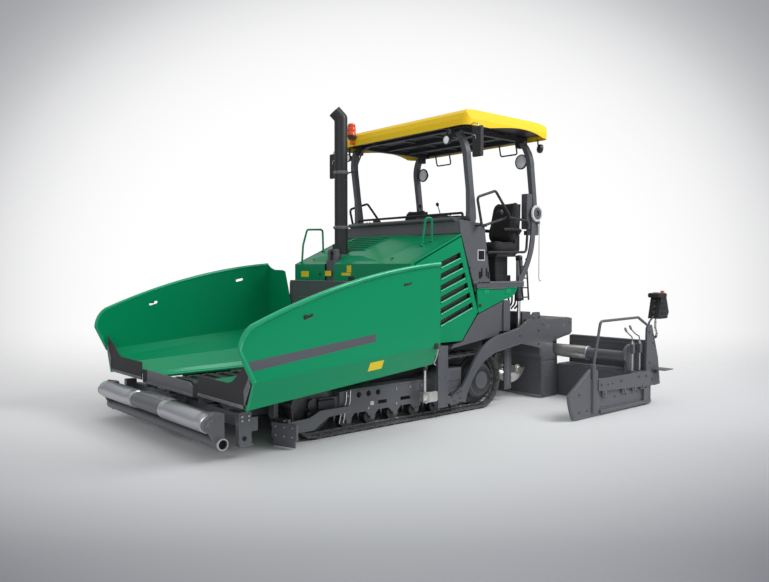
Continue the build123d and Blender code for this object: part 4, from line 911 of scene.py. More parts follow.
# ---------------------------------------------------------------- hopper
@dataclass
class HopperTrim:
    """Rolled rims, painted band, bare stickers, hooks, lugs and bolted strips of the hopper."""

    outside: float = 1.77
    rear: float = 1.291
    arc_middle: tuple[float, float] = (2.549, 1.642)
    shoulder: tuple[float, float] = (3.657, 1.278)
    nose: tuple[float, float] = (3.779, 1.064)
    foot: tuple[float, float] = (3.64, 0.775)
    rear_top: tuple[float, float] = (1.291, 1.842)

    @staticmethod
    def arc(a: Point, b: Point, c: Point, count: int) -> np.ndarray:
        """Points of the arc through a, b and c.

        The centre is where the perpendicular bisectors meet; the points are centre + r (cos t,
        sin t) with t running evenly from a's angle to c's, past b's.

        Args:
            a: the first point.
            b: a point between.
            c: the last point.
            count: how many points.

        Returns:
            A (count, 2) array.
        """
        a, b, c = (np.asarray(p, float) for p in (a, b, c))
        m = np.array([b - a, c - b]) * 2
        centre = np.linalg.solve(m, [b @ b - a @ a, c @ c - b @ b])
        angles = np.unwrap([math.atan2(*(p - centre)[::-1]) for p in (a, b, c)])
        t = np.linspace(angles[0], angles[2], count)
        return centre + np.linalg.norm(a - centre) * np.stack([np.cos(t), np.sin(t)], -1)

    def edge(self) -> np.ndarray:
        """The wall's free edge from the front foot over the nose to the rear top.

        Returns:
            An (n, 2) array of (along, z).
        """
        nose = self.arc(self.nose, (3.728, 1.211), self.shoulder, 10)
        crest = self.arc(self.shoulder, self.arc_middle, self.rear_top, 40)
        return np.vstack([[self.foot], nose, crest[1:]])

    def build(self) -> None:
        """Builds the trim of both wings and of the walls between them."""
        self.rims()
        self.band()
        self.walls()
        self.aprons()
        log.info("hopper: rims, band, strips, latches")

    def rims(self) -> None:
        """A rolled flange: a fat lip carried along the edge."""
        edge = self.edge()
        path = np.column_stack([edge[:, 0], np.full(len(edge), self.outside + 0.003), edge[:, 1]])
        profile = np.stack(circle(20), -1) * [0.0255, 0.023]
        Batch().grid(sweep(path, profile, LEFT)).twins("wing_rim", LIT_GREEN, "wing")
        hem = Batch()
        slab(hem, (3.632, 1.64, 0.5), (3.652, 1.662, 0.56), 0.004)
        plate(hem, [(1.648, 0.506), (1.764, 0.775), (1.778, 0.776), (1.664, 0.5)], 3.64 - 0.004,
            3.652, Axis.X)
        hem.twins("wing_front_hem", LIT_GREEN, "wing")

    def band(self) -> None:
        """The painted band on the outer face, the bare sticker, the hook and the lugs."""
        band = Batch()
        plate(band, [(3.692, 0.872), (3.716, 0.962), (2.214, 1.127), (2.214, 1.046)], self.outside,
            self.outside + 0.0015, bevel=0.0004)
        band.twins("wing_band", BAND_GREY, "wing")
        sticker = Batch()
        corners = []
        for x in (2.27, 2.085):
            t = (3.64 - x) / (3.64 - self.rear)
            top = np.array([1.77, 0.775 + (0.95 - 0.775) * t])
            bottom = np.array([1.654, 0.505 + (0.725 - 0.505) * t])
            for share in (0.18, 0.56):
                spot = top + (bottom - top) * share
                corners.append((x, spot[0] + 0.0015, spot[1] - 0.0006))
        front_low, front_high, rear_low, rear_high = corners
        quad = np.array([front_high, rear_high, rear_low, front_low])
        out = np.array([0, 0.0012, -0.0005])
        sticker.grid(np.stack([quad - out, quad]))
        sticker.twins("wing_sticker", STICKER, "wing")
        hook = Batch()
        tube(hook, [(1.33, 1.752, 0.93), (1.322, 1.775, 0.9), (1.345, 1.775, 0.82),
            (1.385, 1.77, 0.755), (1.352, 1.765, 0.735)], 0.008, 0.03, 12)
        hook.twins("wing_hook", ZINC, "wing")
        lug = Batch()
        slab(lug, (1.315, 1.768, 0.905), (1.375, 1.778, 0.975), 0.003)
        slab(lug, (3.03, 1.768, 1.335), (3.1, 1.782, 1.358), 0.003)
        bolts(lug, [(3.05, 1.782, 1.346), (3.08, 1.782, 1.347)], LEFT, 0.006, 0.005)
        lug.twins("wing_lug", BLACK, "wing")

    def walls(self) -> None:
        """Bolted strips on the back wall and its pale top edge."""
        strips = Batch()
        face = 1.25
        for sign in (1, -1):
            edge = [(sign * 1.225, 1.6), (sign * 1.225, 1.32), (sign * 0.955, 0.93)]
            for p, q in zip(edge[:-1], edge[1:]):
                p, q = np.array(p), np.array(q)
                way = unit(q - p)
                side = np.array([way[1], -way[0]]) * 0.028
                corners = [p - side, q - side, q + side, p + side]
                plate(strips, corners, face, face + 0.008, Axis.X, 0.002)
                for share in np.linspace(0.12, 0.88, 4):
                    spot = p + (q - p) * share
                    bolts(strips, [(face + 0.008, spot[0], spot[1])], AHEAD, 0.01, 0.006)
        strips.make("back_wall_strips", GREY)
        cap = Batch()
        slab(cap, (face - 0.052, -1.252, 1.618), (face + 0.004, 1.252, 1.628), 0.003)
        slab(cap, (face - 0.002, -1.1, 1.4), (face + 0.002, 1.1, 1.404), 0.0008)
        cap.make("back_wall_edge", PALE_GREY)

    def aprons(self) -> None:
        """Clamping strips, bolts, brackets and laps of the front aprons."""
        face = 3.652
        strip = Batch()
        slab(strip, (face - 0.002, 0.705, 0.516), (face + 0.006, 1.604, 0.548), 0.002)
        bolts(strip, [(face + 0.006, y, 0.532) for y in np.linspace(0.76, 1.55, 7)], AHEAD, 0.009,
            0.006)
        bracket = Batch()
        plate(bracket, [(1.632, 0.555), (1.735, 0.745), (1.722, 0.84), (1.7, 0.8), (1.625, 0.69)],
            face, face + 0.01, Axis.X, 0.002)
        bolts(bracket, [(face + 0.01, 1.662, 0.66), (face + 0.01, 1.702, 0.75)], AHEAD, 0.009,
            0.006)
        strip.twins("apron_strip", PALE_GREY, "wing")
        bracket.twins("apron_bracket", PALE_GREY, "wing")
        middle = Batch()
        mid = 3.632
        slab(middle, (mid - 0.002, -0.632, 0.482), (mid + 0.006, 0.555, 0.512), 0.002)
        bolts(middle, [(mid + 0.006, y, 0.497) for y in np.linspace(-0.6, 0.52, 9)], AHEAD, 0.009,
            0.006)
        middle.make("centre_apron_strip", PALE_GREY)
        laps = Batch()
        for low, high in ((-0.699, -0.6), (0.56, 0.699)):
            slab(laps, (mid, low, 0.484), (mid + 0.0065, high, 0.636), 0.002)
        laps.make("centre_apron_laps", APRON)


@dataclass
class Conveyors:
    """Chains in the hopper's floor and the guard between them."""

    first: float = -0.595
    last: float = 3.34
    pitch: float = 0.095

    def build(self) -> None:
        """Builds chains and the centre guard."""
        chain = Batch()
        for y in (-0.595, -0.065, 0.065, 0.595):
            x = self.first
            while x < self.last:
                plate(chain, [(x - 0.042, 0.505), (x - 0.03, 0.522), (x + 0.03, 0.522),
                    (x + 0.042, 0.505), (x + 0.03, 0.499), (x - 0.03, 0.499)], y - 0.013, y + 0.013,
                    bevel=0.002)
                x += self.pitch
        chain.make("conveyor_chains", CHAIN)
        guard = Batch()
        profile = np.array([(-0.045, 0.5), (-0.045, 0.53), (-0.018, 0.556), (0.018, 0.556),
            (0.045, 0.53), (0.045, 0.5)])
        guard.grid([np.column_stack([np.full(len(profile), x), profile]) for x in (1.3, 3.37)])
        guard.make("chain_guard", GUARD_STEEL)
        log.info("conveyors: chains and guard")


@dataclass
class PushBeam:
    """Roller skins, bolts, low pipe rings and tie post bolts of the push beam."""

    axis_x: float = 3.84
    axis_z: float = 0.36
    inner: float = 0.35
    outer: float = 1.3

    def build(self) -> None:
        """Builds the rollers' skins and the beam's fittings."""
        skin = Batch()
        a, b = self.inner + 0.0065, self.outer - 0.0065
        length = b - a
        turned(skin, (self.axis_x, a, self.axis_z), (self.axis_x, b, self.axis_z),
            [(0, 0.022), (0, 0.08), (0.006, 0.088), (0.01, 0.0946), (0.1, 0.095), (0.104, 0.094),
            (0.108, 0.095), (length - 0.108, 0.095), (length - 0.104, 0.094), (length - 0.1, 0.095),
            (length - 0.01, 0.0946), (length - 0.006, 0.088), (length, 0.08), (length, 0.022)], 64)
        for (side, _), made in zip(SIDES, skin.twins("roller_skin", ROLLER_STEEL, "push_roller")):
            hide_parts(f"{side}_push_roller")
        fittings = Batch()
        bolts(fittings, [(x, self.outer + 0.034, z) for x, z in ((3.74, 0.4), (3.74, 0.2),
            (3.83, 0.4), (3.88, 0.34))], LEFT, 0.014, 0.012)
        turned(fittings, (self.axis_x, 1.33, self.axis_z), (self.axis_x, 1.346, self.axis_z),
            [(0, 0.04), (0.012, 0.038), (0.016, 0.02)], 24)
        slab(fittings, (3.715, 1.2, 0.418), (3.82, 1.302, 0.448), 0.006)
        fittings.both()
        bolts(fittings, [(3.8, y, 0.4395) for y in (-0.28, -0.14, 0.14, 0.28)], UP, 0.014, 0.011)
        slab(fittings, (3.72, -0.335, 0.434), (3.85, 0.335, 0.4425), 0.004)
        fittings.make("push_beam_fittings", PALE_GREY, "push_beam")
        rings = Batch()
        turned(rings, (3.745, 1.372, 0.164), (3.745, 1.391, 0.164),
            [(0, 0.045), (0, 0.0585), (0.016, 0.0585), (0.019, 0.055), (0.019, 0.045)], 36, True)
        rings.both().make("low_pipe_rings", ROLLER_STEEL, "push_beam")
        # A disc of painted shade inside the low pipe's ring.
        dark = Batch()
        turned(dark, (3.745, 1.352, 0.164), (3.745, 1.372, 0.164),
            [(0, 0.0), (0, 0.0438), (0.01, 0.0438), (0.01, 0.0)], 36)
        dark.both().make("low_pipe_depths", SHADE_FILL, "push_beam")
        posts = Batch()
        for z in (0.36, 0.4):
            bolts(posts, [(x, 1.4, z) for x in (3.48, 3.55)], LEFT, 0.012, 0.01)
        posts.both().make("tie_post_bolts", ZINC)
        log.info("push beam: roller skins and fittings")


# ---------------------------------------------------------------- hood, doors and tanks
@dataclass
class HoodTrim:
    """Bare stickers, seams, rubber strip, grille, handles' feet and latches of the hood."""

    front_x: float = 1.2
    front_z: float = 1.85
    rear_x: float = 0.346
    rear_z: float = 2.225

    def top(self, along: float) -> float:
        """Height of the hood's sloping top, a straight line from its front to its rear edge."""
        share = (self.front_x - along) / (self.front_x - self.rear_x)
        return self.front_z + (self.rear_z - self.front_z) * share

    def build(self) -> None:
        """Builds the hood's trim."""
        face = self.front_x
        signs = Batch()
        for low, high in (((-1.046, 1.675), (-0.864, 1.754)), ((-0.485, 1.69), (-0.346, 1.76)),
                ((-0.123, 1.7), (0.07, 1.735)), ((-0.01, 1.74), (0.082, 1.83))):
            slab(signs, (face - 0.001, low[0], low[1]), (face + 0.0012, high[0], high[1]), 0.0005)
        signs.make("hood_stickers", STICKER)
        recess = Batch()
        slab(recess, (face - 0.012, 0.014, 1.63), (face + 0.0015, 0.149, 1.69), 0.0007)
        for y in (-0.6, 0.62):
            slab(recess, (face - 0.002, y - 0.022, 1.7), (face + 0.008, y + 0.022, 1.735), 0.005)
        recess.make("hood_recess", BLACK)
        seam = Batch()
        for y in (1.158, -1.158):
            self.strip(seam, 1.19, 0.36, y, 0.004, 0.0012)
        seam.make("hood_seams", SEAM)
        lip = Batch()
        slab(lip, (self.rear_x - 0.016, -1.165, self.rear_z - 0.012),
            (self.rear_x + 0.006, 1.165, self.rear_z + 0.01), 0.005)
        lip.make("hood_rear_rubber", RUBBER)
        frame_bar = Batch()
        corners = [(0.88, -0.74), (0.88, -0.04), (0.46, 0.02), (0.46, -0.74)]
        lift = 0.044
        for (xa, ya), (xb, yb) in zip(corners, corners[1:] + corners[:1]):
            tube(frame_bar, [(xa, ya, self.top(xa) + lift), (xb, yb, self.top(xb) + lift)], 0.007,
                sides=10)
        frame_bar.make("grille_rim", GREEN)
        rounds = Batch()
        for k in range(6):
            x = 0.505 + 0.066 * k
            tube(rounds, [(x, -0.735, self.top(x) + 0.04), (x, -0.05, self.top(x) + 0.04)], 0.009,
                sides=12)
        rounds.make("grille_bars", GREEN)
        feet = Batch()
        for x, y in ((0.56, 0.9), (0.69, 0.86), (1.15, -1.1), (0.78, -1.1)):
            z = self.top(x)
            turned(feet, (x, y, z - 0.004), (x - 0.01, y, z + 0.014),
                [(0, 0.03), (0.01, 0.03), (0.016, 0.022), (0.018, 0.015)], 20)
        feet.make("handle_feet", LIT_GREEN)
        latch = Batch()
        for y in (0.7, -0.95):
            slab(latch, (1.02, y - 0.018, self.top(1.02) - 0.006),
                (1.08, y + 0.018, self.top(1.05) + 0.01), 0.006)
        latch.make("hood_latches", BLACK)
        log.info("hood: trim and grille")

    def strip(self, batch: Batch, start: float, end: float, y: float, half: float,
            lift: float) -> None:
        """Adds a thin strip that lies on the sloping top.

        Args:
            batch: where it goes.
            start: where it starts along X.
            end: where it ends along X.
            y: its middle.
            half: half its width.
            lift: how far it stands out.
        """
        rows = []
        for x in (start, end):
            z = self.top(x)
            rows.append([(x, y - half, z - 0.002), (x, y - half, z + lift), (x, y + half, z + lift),
                (x, y + half, z - 0.002)])
        batch.grid(np.array(rows))


@dataclass
class DoorTrim:
    """Round bars, dark slats and a dark screen behind them as painted shade, bolts and handles of
    the two engine doors.
    """

    heads: tuple[tuple[float, float], ...] = ((0.364, 1.995), (0.322, 1.87), (0.276, 1.745),
        (0.232, 1.62), (0.188, 1.494), (0.142, 1.367))
    front: float = 0.72
    slope: float = -0.364
    gap: float = 0.084
    outer: float = 1.204

    def build(self) -> None:
        """Builds both doors' trim."""
        bars, slats = Batch(), Batch()
        for k, (x, z) in enumerate(self.heads):
            low = z - self.gap * (0.95 - 0.004 * k)
            run = self.front - x
            path = [(x - 0.006, self.outer - 0.006, low), (self.front - 0.02, self.outer - 0.006,
                low + self.slope * (run - 0.02))]
            tube(bars, path, 0.013, sides=14)
            # Dark slats between the bars: painted shade of the gaps.
            for share, deep in ((0.3, 0.01), (0.62, 0.016)):
                a = np.array((x + 0.02, self.outer - 0.024 - deep, z - self.gap * share))
                b = np.array((self.front - 0.02, self.outer - 0.024 - deep,
                    z - self.gap * share + self.slope * (run - 0.02)))
                up = np.array([0, 0.014, 0.026]) * 0.5
                thick = np.array([0, 0.002, -0.0015])
                rows = [[p - up - thick, p + up - thick, p + up + thick,
                    p - up + thick] for p in (a, b)]
                slats.grid(np.array(rows))
        # A black sheet behind the louvres: painted shade of the engine bay.
        screen = Batch()
        plate(screen, [(0.1, 1.2), (0.36, 2.02), (0.74, 1.9), (0.74, 1.02)], 1.148, 1.1545,
            bevel=0.001)
        hinge = Batch()
        bolts(hinge, [(0.18, self.outer, 1.803), (0.048, self.outer, 1.389),
            (0.13, self.outer, 1.64)], LEFT, 0.012, 0.006)
        slab(hinge, (0.085, self.outer - 0.003, 1.5), (0.115, self.outer + 0.008, 1.6), 0.006)
        for name, batch, finish in (("bars", bars, LIT_GREEN), ("slats", slats, BLACK_STEEL),
                ("screen", screen, MESH), ("fittings", hinge, BLACK)):
            batch.twins(f"door_{name}", finish, "engine_door")
        log.info("doors: louvres")


@dataclass
class FlapTrim:
    """Hinge straps and latches of the side flaps, and the catwalk edges."""

    def build(self) -> None:
        """Builds both sides."""
        straps = Batch()
        for x in (-0.12, -0.56):
            slab(straps, (x - 0.05, 1.203, 1.462), (x + 0.05, 1.2095, 1.518), 0.003)
            bolts(straps, [(x + d, 1.209, 1.49) for d in (-0.03, 0.03)], LEFT, 0.009, 0.005)
        latch = Batch()
        slab(latch, (-0.03, 1.203, 1.3), (0.02, 1.212, 1.34), 0.005)
        straps.twins("flap_straps", LIT_GREEN, "side_flap")
        latch.twins("flap_latch", BLACK, "side_flap")
        edge = Batch()
        slab(edge, (-0.88, 1.196, 1.598), (0.04, 1.206, 1.618), 0.004)
        bolts(edge, [(x, 1.206, 1.608) for x in np.linspace(-0.82, -0.02, 5)], LEFT, 0.008, 0.005)
        edge.both().make("catwalk_edges", PALE_GREY)
        log.info("flaps: straps and latches")


# ---------------------------------------------------------------- operator's platform
@dataclass
class Platform:
    """Deck studs, panel slots and plates, dashboards, rail joints, rod, ladders and hoses."""

    floor: float = 1.62

    def build(self) -> None:
        """Builds the platform's fittings."""
        self.deck()
        self.panels()
        self.dashboards()
        self.rail_joints()
        self.rear_fittings()
        log.info("platform: deck, panels, dashboards, rail joints, rear fittings")

    def deck(self) -> None:
        """Raised diamonds: a grid of low ridges that alternate in direction."""
        studs = Batch()
        for i, x in enumerate(np.arange(-0.86, -0.24, 0.058)):
            for j, y in enumerate(np.arange(-1.13, 1.14, 0.058)):
                turn = math.radians(45 if (i + j) % 2 else -45)
                d = np.array([math.cos(turn), math.sin(turn), 0]) * 0.021
                n = np.array([-math.sin(turn), math.cos(turn), 0]) * 0.005
                c = np.array((x, y, self.floor))
                low = c - [0, 0, 0.002]
                top = c + [0, 0, 0.0028]
                points = np.array([low - d, low - n, low + d, low + n, top - d * 0.6, top - n * 0.4,
                    top + d * 0.6, top + n * 0.4])
                studs.shell(points, [(0, 3, 2, 1), (4, 5, 6, 7), (0, 1, 5, 4), (1, 2, 6, 5),
                    (2, 3, 7, 6), (3, 0, 4, 7)])
        studs.make("deck_studs", GREY)

    def panels(self) -> None:
        """A bare square plate, a dark square and two slots of painted shade, bolts and a rolled
        edge on each side panel.
        """
        plates, holes, edge = Batch(), Batch(), Batch()
        slab(plates, (-0.098, 1.199, 1.892), (0.04, 1.203, 2.032), 0.001)
        # The square and the slots are flat dark patches of painted shade.
        slab(holes, (-0.085, 1.2025, 1.905), (0.027, 1.2042, 2.019), 0.0006)
        for x in (-0.008, -0.175):
            slab(holes, (x - 0.022, 1.198, 1.662), (x + 0.022, 1.2012, 1.752), 0.0006)
        slab(edge, (-0.2, 1.196, 1.6), (0.1, 1.206, 1.618), 0.004)
        outline = [(0.365, 2.391), (0.34, 2.226), (0.105, 1.6)]
        tube(edge, [(x, 1.196, z) for x, z in outline], 0.007, 0.03, 10)
        tube(edge, [(x, 1.196, z) for x, z in ((0.365, 2.391), (-0.082, 2.359), (-0.201, 1.6))],
            0.007, 0.03, 10)
        for x, z in ((0.27, 2.3), (0.02, 2.3), (0.13, 1.8), (-0.15, 1.82)):
            bolts(edge, [(x, 1.199, z)], LEFT, 0.01, 0.007)
        plates.both().make("panel_plates", PALE_SIGN)
        holes.both().make("panel_slots", SHADE_FILL)
        edge.both().make("panel_edges", GREY)

    def dashboards(self) -> None:
        """Screens, switches and levers that stand on each dashboard and on the console."""
        screens, knobs = Batch(), Batch()
        for y in (0.905, -0.905):
            slab(screens, (0.1, y - 0.13, 2.437), (0.26, y + 0.13, 2.452), 0.006)
        for y in (0.7, 0.76, 1.06, -0.7, -0.76, -1.06):
            for x in (0.12, 0.18, 0.24):
                turned(knobs, (x, y, 2.436), (x, y, 2.462), [(0, 0.013), (0.018, 0.012),
                    (0.024, 0.007)], 12)
        for x in (-0.36, -0.46, -0.56):
            for y in (-0.14, -0.07, 0.0, 0.07, 0.14):
                turned(knobs, (x, y, 2.547), (x, y, 2.57), [(0, 0.012), (0.016, 0.011),
                    (0.02, 0.006)], 12)
        slab(screens, (-0.94, -0.16, 2.547), (-0.7, 0.16, 2.556), 0.004)
        screens.make("dashboard_screens", SCREEN)
        knobs.make("dashboard_knobs", BLACK)
        lever = Batch()
        for y in (0.18, -0.18):
            tube(lever, [(-0.32, y, 2.54), (-0.3, y, 2.6), (-0.27, y * 0.98, 2.67)], 0.007, 0.03,
                10)
            turned(lever, (-0.272, y * 0.98, 2.66), (-0.255, y * 0.975, 2.715),
                [(0, 0.01), (0.012, 0.02), (0.038, 0.023), (0.054, 0.012)], 16)
        lever.make("console_levers", BLACK)

    def rail_joints(self) -> None:
        """A clamped knuckle with a bolt where each side's rails meet."""
        joints = Batch()
        turned(joints, (-0.338, 1.202, 2.52), (-0.338, 1.287, 2.52),
            [(0, 0.02), (0.006, 0.03), (0.078, 0.03), (0.085, 0.02)], 18)
        bolts(joints, [(-0.338, 1.286, 2.52)], LEFT, 0.013, 0.009)
        joints.both().make("rail_joints", BLACK)

    def rear_fittings(self) -> None:
        """A hooked rod and the reel's cable on the left, short ladders and hoses on both sides."""
        rods = Batch()
        tube(rods, [(-1.205, 1.215, 2.46), (-1.205, 1.215, 1.66), (-1.22, 1.215, 1.615),
            (-1.255, 1.215, 1.622)], 0.0055, 0.03, 10)
        slab(rods, (-1.222, 1.192, 2.4), (-1.188, 1.222, 2.44), 0.004)
        rods.make("sounding_rod", ZINC)
        cable = Batch()
        turned(cable, (-1.15, 1.2, 2.545), (-1.15, 1.228, 2.545),
            [(0, 0.083), (0, 0.108), (0.007, 0.114), (0.014, 0.11), (0.021, 0.114), (0.028, 0.108),
            (0.028, 0.083)], 48, True)
        cable.make("reeled_cable", PALE_SIGN)
        ladder = Batch()
        for a, b in (((-0.83, 1.93), (-0.905, 1.36)), ((-0.97, 1.93), (-1.028, 1.36))):
            tube(ladder, [(a[0], 1.18, a[1]), (b[0], 1.18, b[1])], 0.012, sides=12)
        for z in (1.4, 1.53, 1.66, 1.82):
            shift = (1.93 - z) / 0.69
            tube(ladder, [(-0.83 - 0.09 * shift, 1.18, z), (-0.97 - 0.07 * shift, 1.18, z)], 0.009,
                sides=10)
        ladder.both().make("rear_ladders", BLACK)
        hoses = Batch()
        for k, y in enumerate((0.86, 0.91, 0.96, 1.01)):
            x = -0.955 - 0.012 * k
            tube(hoses, [(x, y, 1.6), (x - 0.04, y, 1.46), (x - 0.01, y + 0.02, 1.3),
                (x + 0.09, y + 0.03, 1.24)], 0.013, 0.08, 10)
        hoses.both().make("rear_hoses", RUBBER)


@dataclass
class Seats:
    """Upholstery of the two seats: blown-up cushions with bolsters, on their shells."""

    x: float = -0.65
    y: float = 0.905
    cushion_z: float = 2.01
    voxel: float = 0.006
    frames: int = 20
    most: float = 0.012

    def build(self) -> None:
        """Builds both seats."""
        for side, sign in SIDES:
            self.one(side, sign)
        log.info("seats: cushions, shells, armrests")

    def cushion(self, name: str, profile: Sequence[tuple[float, float]], width: float, sign: int,
            swell: float) -> bpy.types.Object:
        """One cushion from its side outline.

        The outline is carried across the width; at share s of the half width the section shrinks
        towards its centre by 1 - 0.3 |s|^8 so that the sides turn round, bolsters rise by
        3 `swell` s^2 (1 - s^4) along the outline's own normal, and grooves dip by a narrow bell
        at |s| = 0.52.

        Args:
            name: the piece's name.
            profile: its side outline, (x, z) pairs with x counted from the seat's middle.
            width: its width.
            sign: 1 on the left, -1 on the right.
            swell: how far the bolsters rise.

        Returns:
            The cushion.
        """
        outline = np.asarray(profile, float)
        closed = np.vstack([outline, outline[:1]])
        steps = run_of(closed)
        t = np.linspace(0, steps[-1], 64, endpoint=False)
        path = np.stack([np.interp(t, steps, closed[:, 0]), np.interp(t, steps, closed[:, 1])], -1)
        soft = sum(np.roll(path, k, 0) for k in (-2, -1, 0, 1, 2)) / 5
        tangent = np.roll(soft, -1, 0) - np.roll(soft, 1, 0)
        normal = unit(np.stack([tangent[:, 1], -tangent[:, 0]], -1)) * area_sign(soft)
        centre = soft.mean(0)
        s = np.sin(np.linspace(-math.pi / 2, math.pi / 2, 33))
        shrink = 1 - 0.3 * np.abs(s) ** 8
        rise = swell * s ** 2 * (1 - s ** 4) * 3 - 0.006 * np.exp(-((np.abs(s) - 0.52) / 0.05) ** 2)
        section = centre + (soft - centre)[None] * shrink[:, None, None] + normal[None] * rise[:,
            None, None]
        rows = np.stack([self.x + section[..., 0], np.broadcast_to(sign * self.y + s[:,
            None] * width / 2, section.shape[:2]), section[..., 1]], -1)
        return Batch().grid(rows).make(name, SEAT_CLOTH, smooth=60)

    def one(self, side: str, sign: int) -> None:
        """Builds one seat; each part follows the CAD seat's outline.

        Args:
            side: left or right.
            sign: 1 on the left, -1 on the right.
        """
        z = self.cushion_z
        base = [(-0.215, z + 0.012), (0.2, z + 0.004), (0.246, z + 0.03), (0.249, z + 0.085),
            (0.215, z + 0.128), (0.02, z + 0.112), (-0.19, z + 0.12), (-0.232, z + 0.08)]
        back = [(-0.15, z + 0.12), (-0.085, z + 0.165), (-0.105, z + 0.3), (-0.15, z + 0.48),
            (-0.205, z + 0.67), (-0.245, z + 0.698), (-0.275, z + 0.665), (-0.262, z + 0.48),
            (-0.225, z + 0.28), (-0.215, z + 0.13)]
        parts = [self.cushion(f"{side}_seat_cushion", base, 0.47, sign, 0.01),
            self.cushion(f"{side}_seat_back", back, 0.45, sign, 0.009)]
        for one in parts:
            self.blow(one)
        hard = Batch()
        cy = sign * self.y
        slab(hard, (self.x - 0.225, cy - 0.2, z - 0.03), (self.x + 0.19, cy + 0.2, z + 0.014),
            0.012)
        for y in (-0.2, 0.2):
            slab(hard, (self.x - 0.26, cy + y - 0.012, z + 0.02),
                (self.x - 0.16, cy + y + 0.012, z + 0.24), 0.01)
        shell = [(-0.235, z + 0.12), (-0.225, z + 0.13), (-0.262, z + 0.48), (-0.272, z + 0.655),
            (-0.288, z + 0.66), (-0.285, z + 0.48), (-0.252, z + 0.16)]
        plate(hard, [(self.x + a, b) for a, b in shell], cy - 0.2, cy + 0.2, bevel=0.003)
        hard.make(f"{side}_seat_shell", BLACK)
        arms = Batch()
        for y in (-0.245, 0.245):
            profile = rounded(0.052, 0.046, 0.02, 4)
            path = np.array([(self.x + a, cy + y, b) for a, b in ((-0.225, z + 0.285),
                (-0.2, z + 0.3), (0.0, z + 0.305), (0.1, z + 0.3), (0.125, z + 0.29))])
            arms.grid(sweep(path, profile, UP))
            turned(arms, (self.x - 0.2, cy + y * 0.86, z + 0.27),
                (self.x - 0.2, cy + y * 1.02, z + 0.27), [(0, 0.02), (0.004, 0.032), (0.036, 0.032),
                (0.039, 0.024)], 20)
        arms.make(f"{side}_armrests", VINYL)
        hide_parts("seats")

    def blow(self, thing: bpy.types.Object) -> None:
        """Remeshes a cushion evenly and fills it so that its cover tightens.

        No point moves by more than `most`.

        Args:
            thing: the cushion.
        """
        remesh = thing.modifiers.new("even", "REMESH")
        remesh.mode = "VOXEL"
        remesh.voxel_size = self.voxel
        bpy.context.view_layer.objects.active = thing
        thing.select_set(True)
        bpy.ops.object.modifier_apply(modifier="even")
        before = np.empty(len(thing.data.vertices) * 3)
        thing.data.vertices.foreach_get("co", before)
        cloth = thing.modifiers.new("cover", "CLOTH")
        for key, value in (("use_pressure", True), ("uniform_pressure_force", 4.0),
                ("tension_stiffness", 40), ("compression_stiffness", 40),
                ("bending_stiffness", 2.0)):
            setattr(cloth.settings, key, value)
        cloth.settings.effector_weights.gravity = 0.0
        cloth.point_cache.frame_start, cloth.point_cache.frame_end = 1, self.frames
        scene = bpy.context.scene
        for number in range(1, self.frames + 1):
            scene.frame_set(number)
        bpy.ops.object.modifier_apply(modifier="cover")
        scene.frame_set(1)
        after = np.empty_like(before)
        thing.data.vertices.foreach_get("co", after)
        move = (after - before).reshape(-1, 3)
        far = np.linalg.norm(move, axis=1)
        kept = np.minimum(far, self.most) / np.maximum(far, 1e-9)
        after = before.reshape(-1, 3) + move * kept[:, None]
        thing.data.vertices.foreach_set("co", after.ravel())
        thing.data.update()
        thing.data.shade_smooth()
        thing.select_set(False)


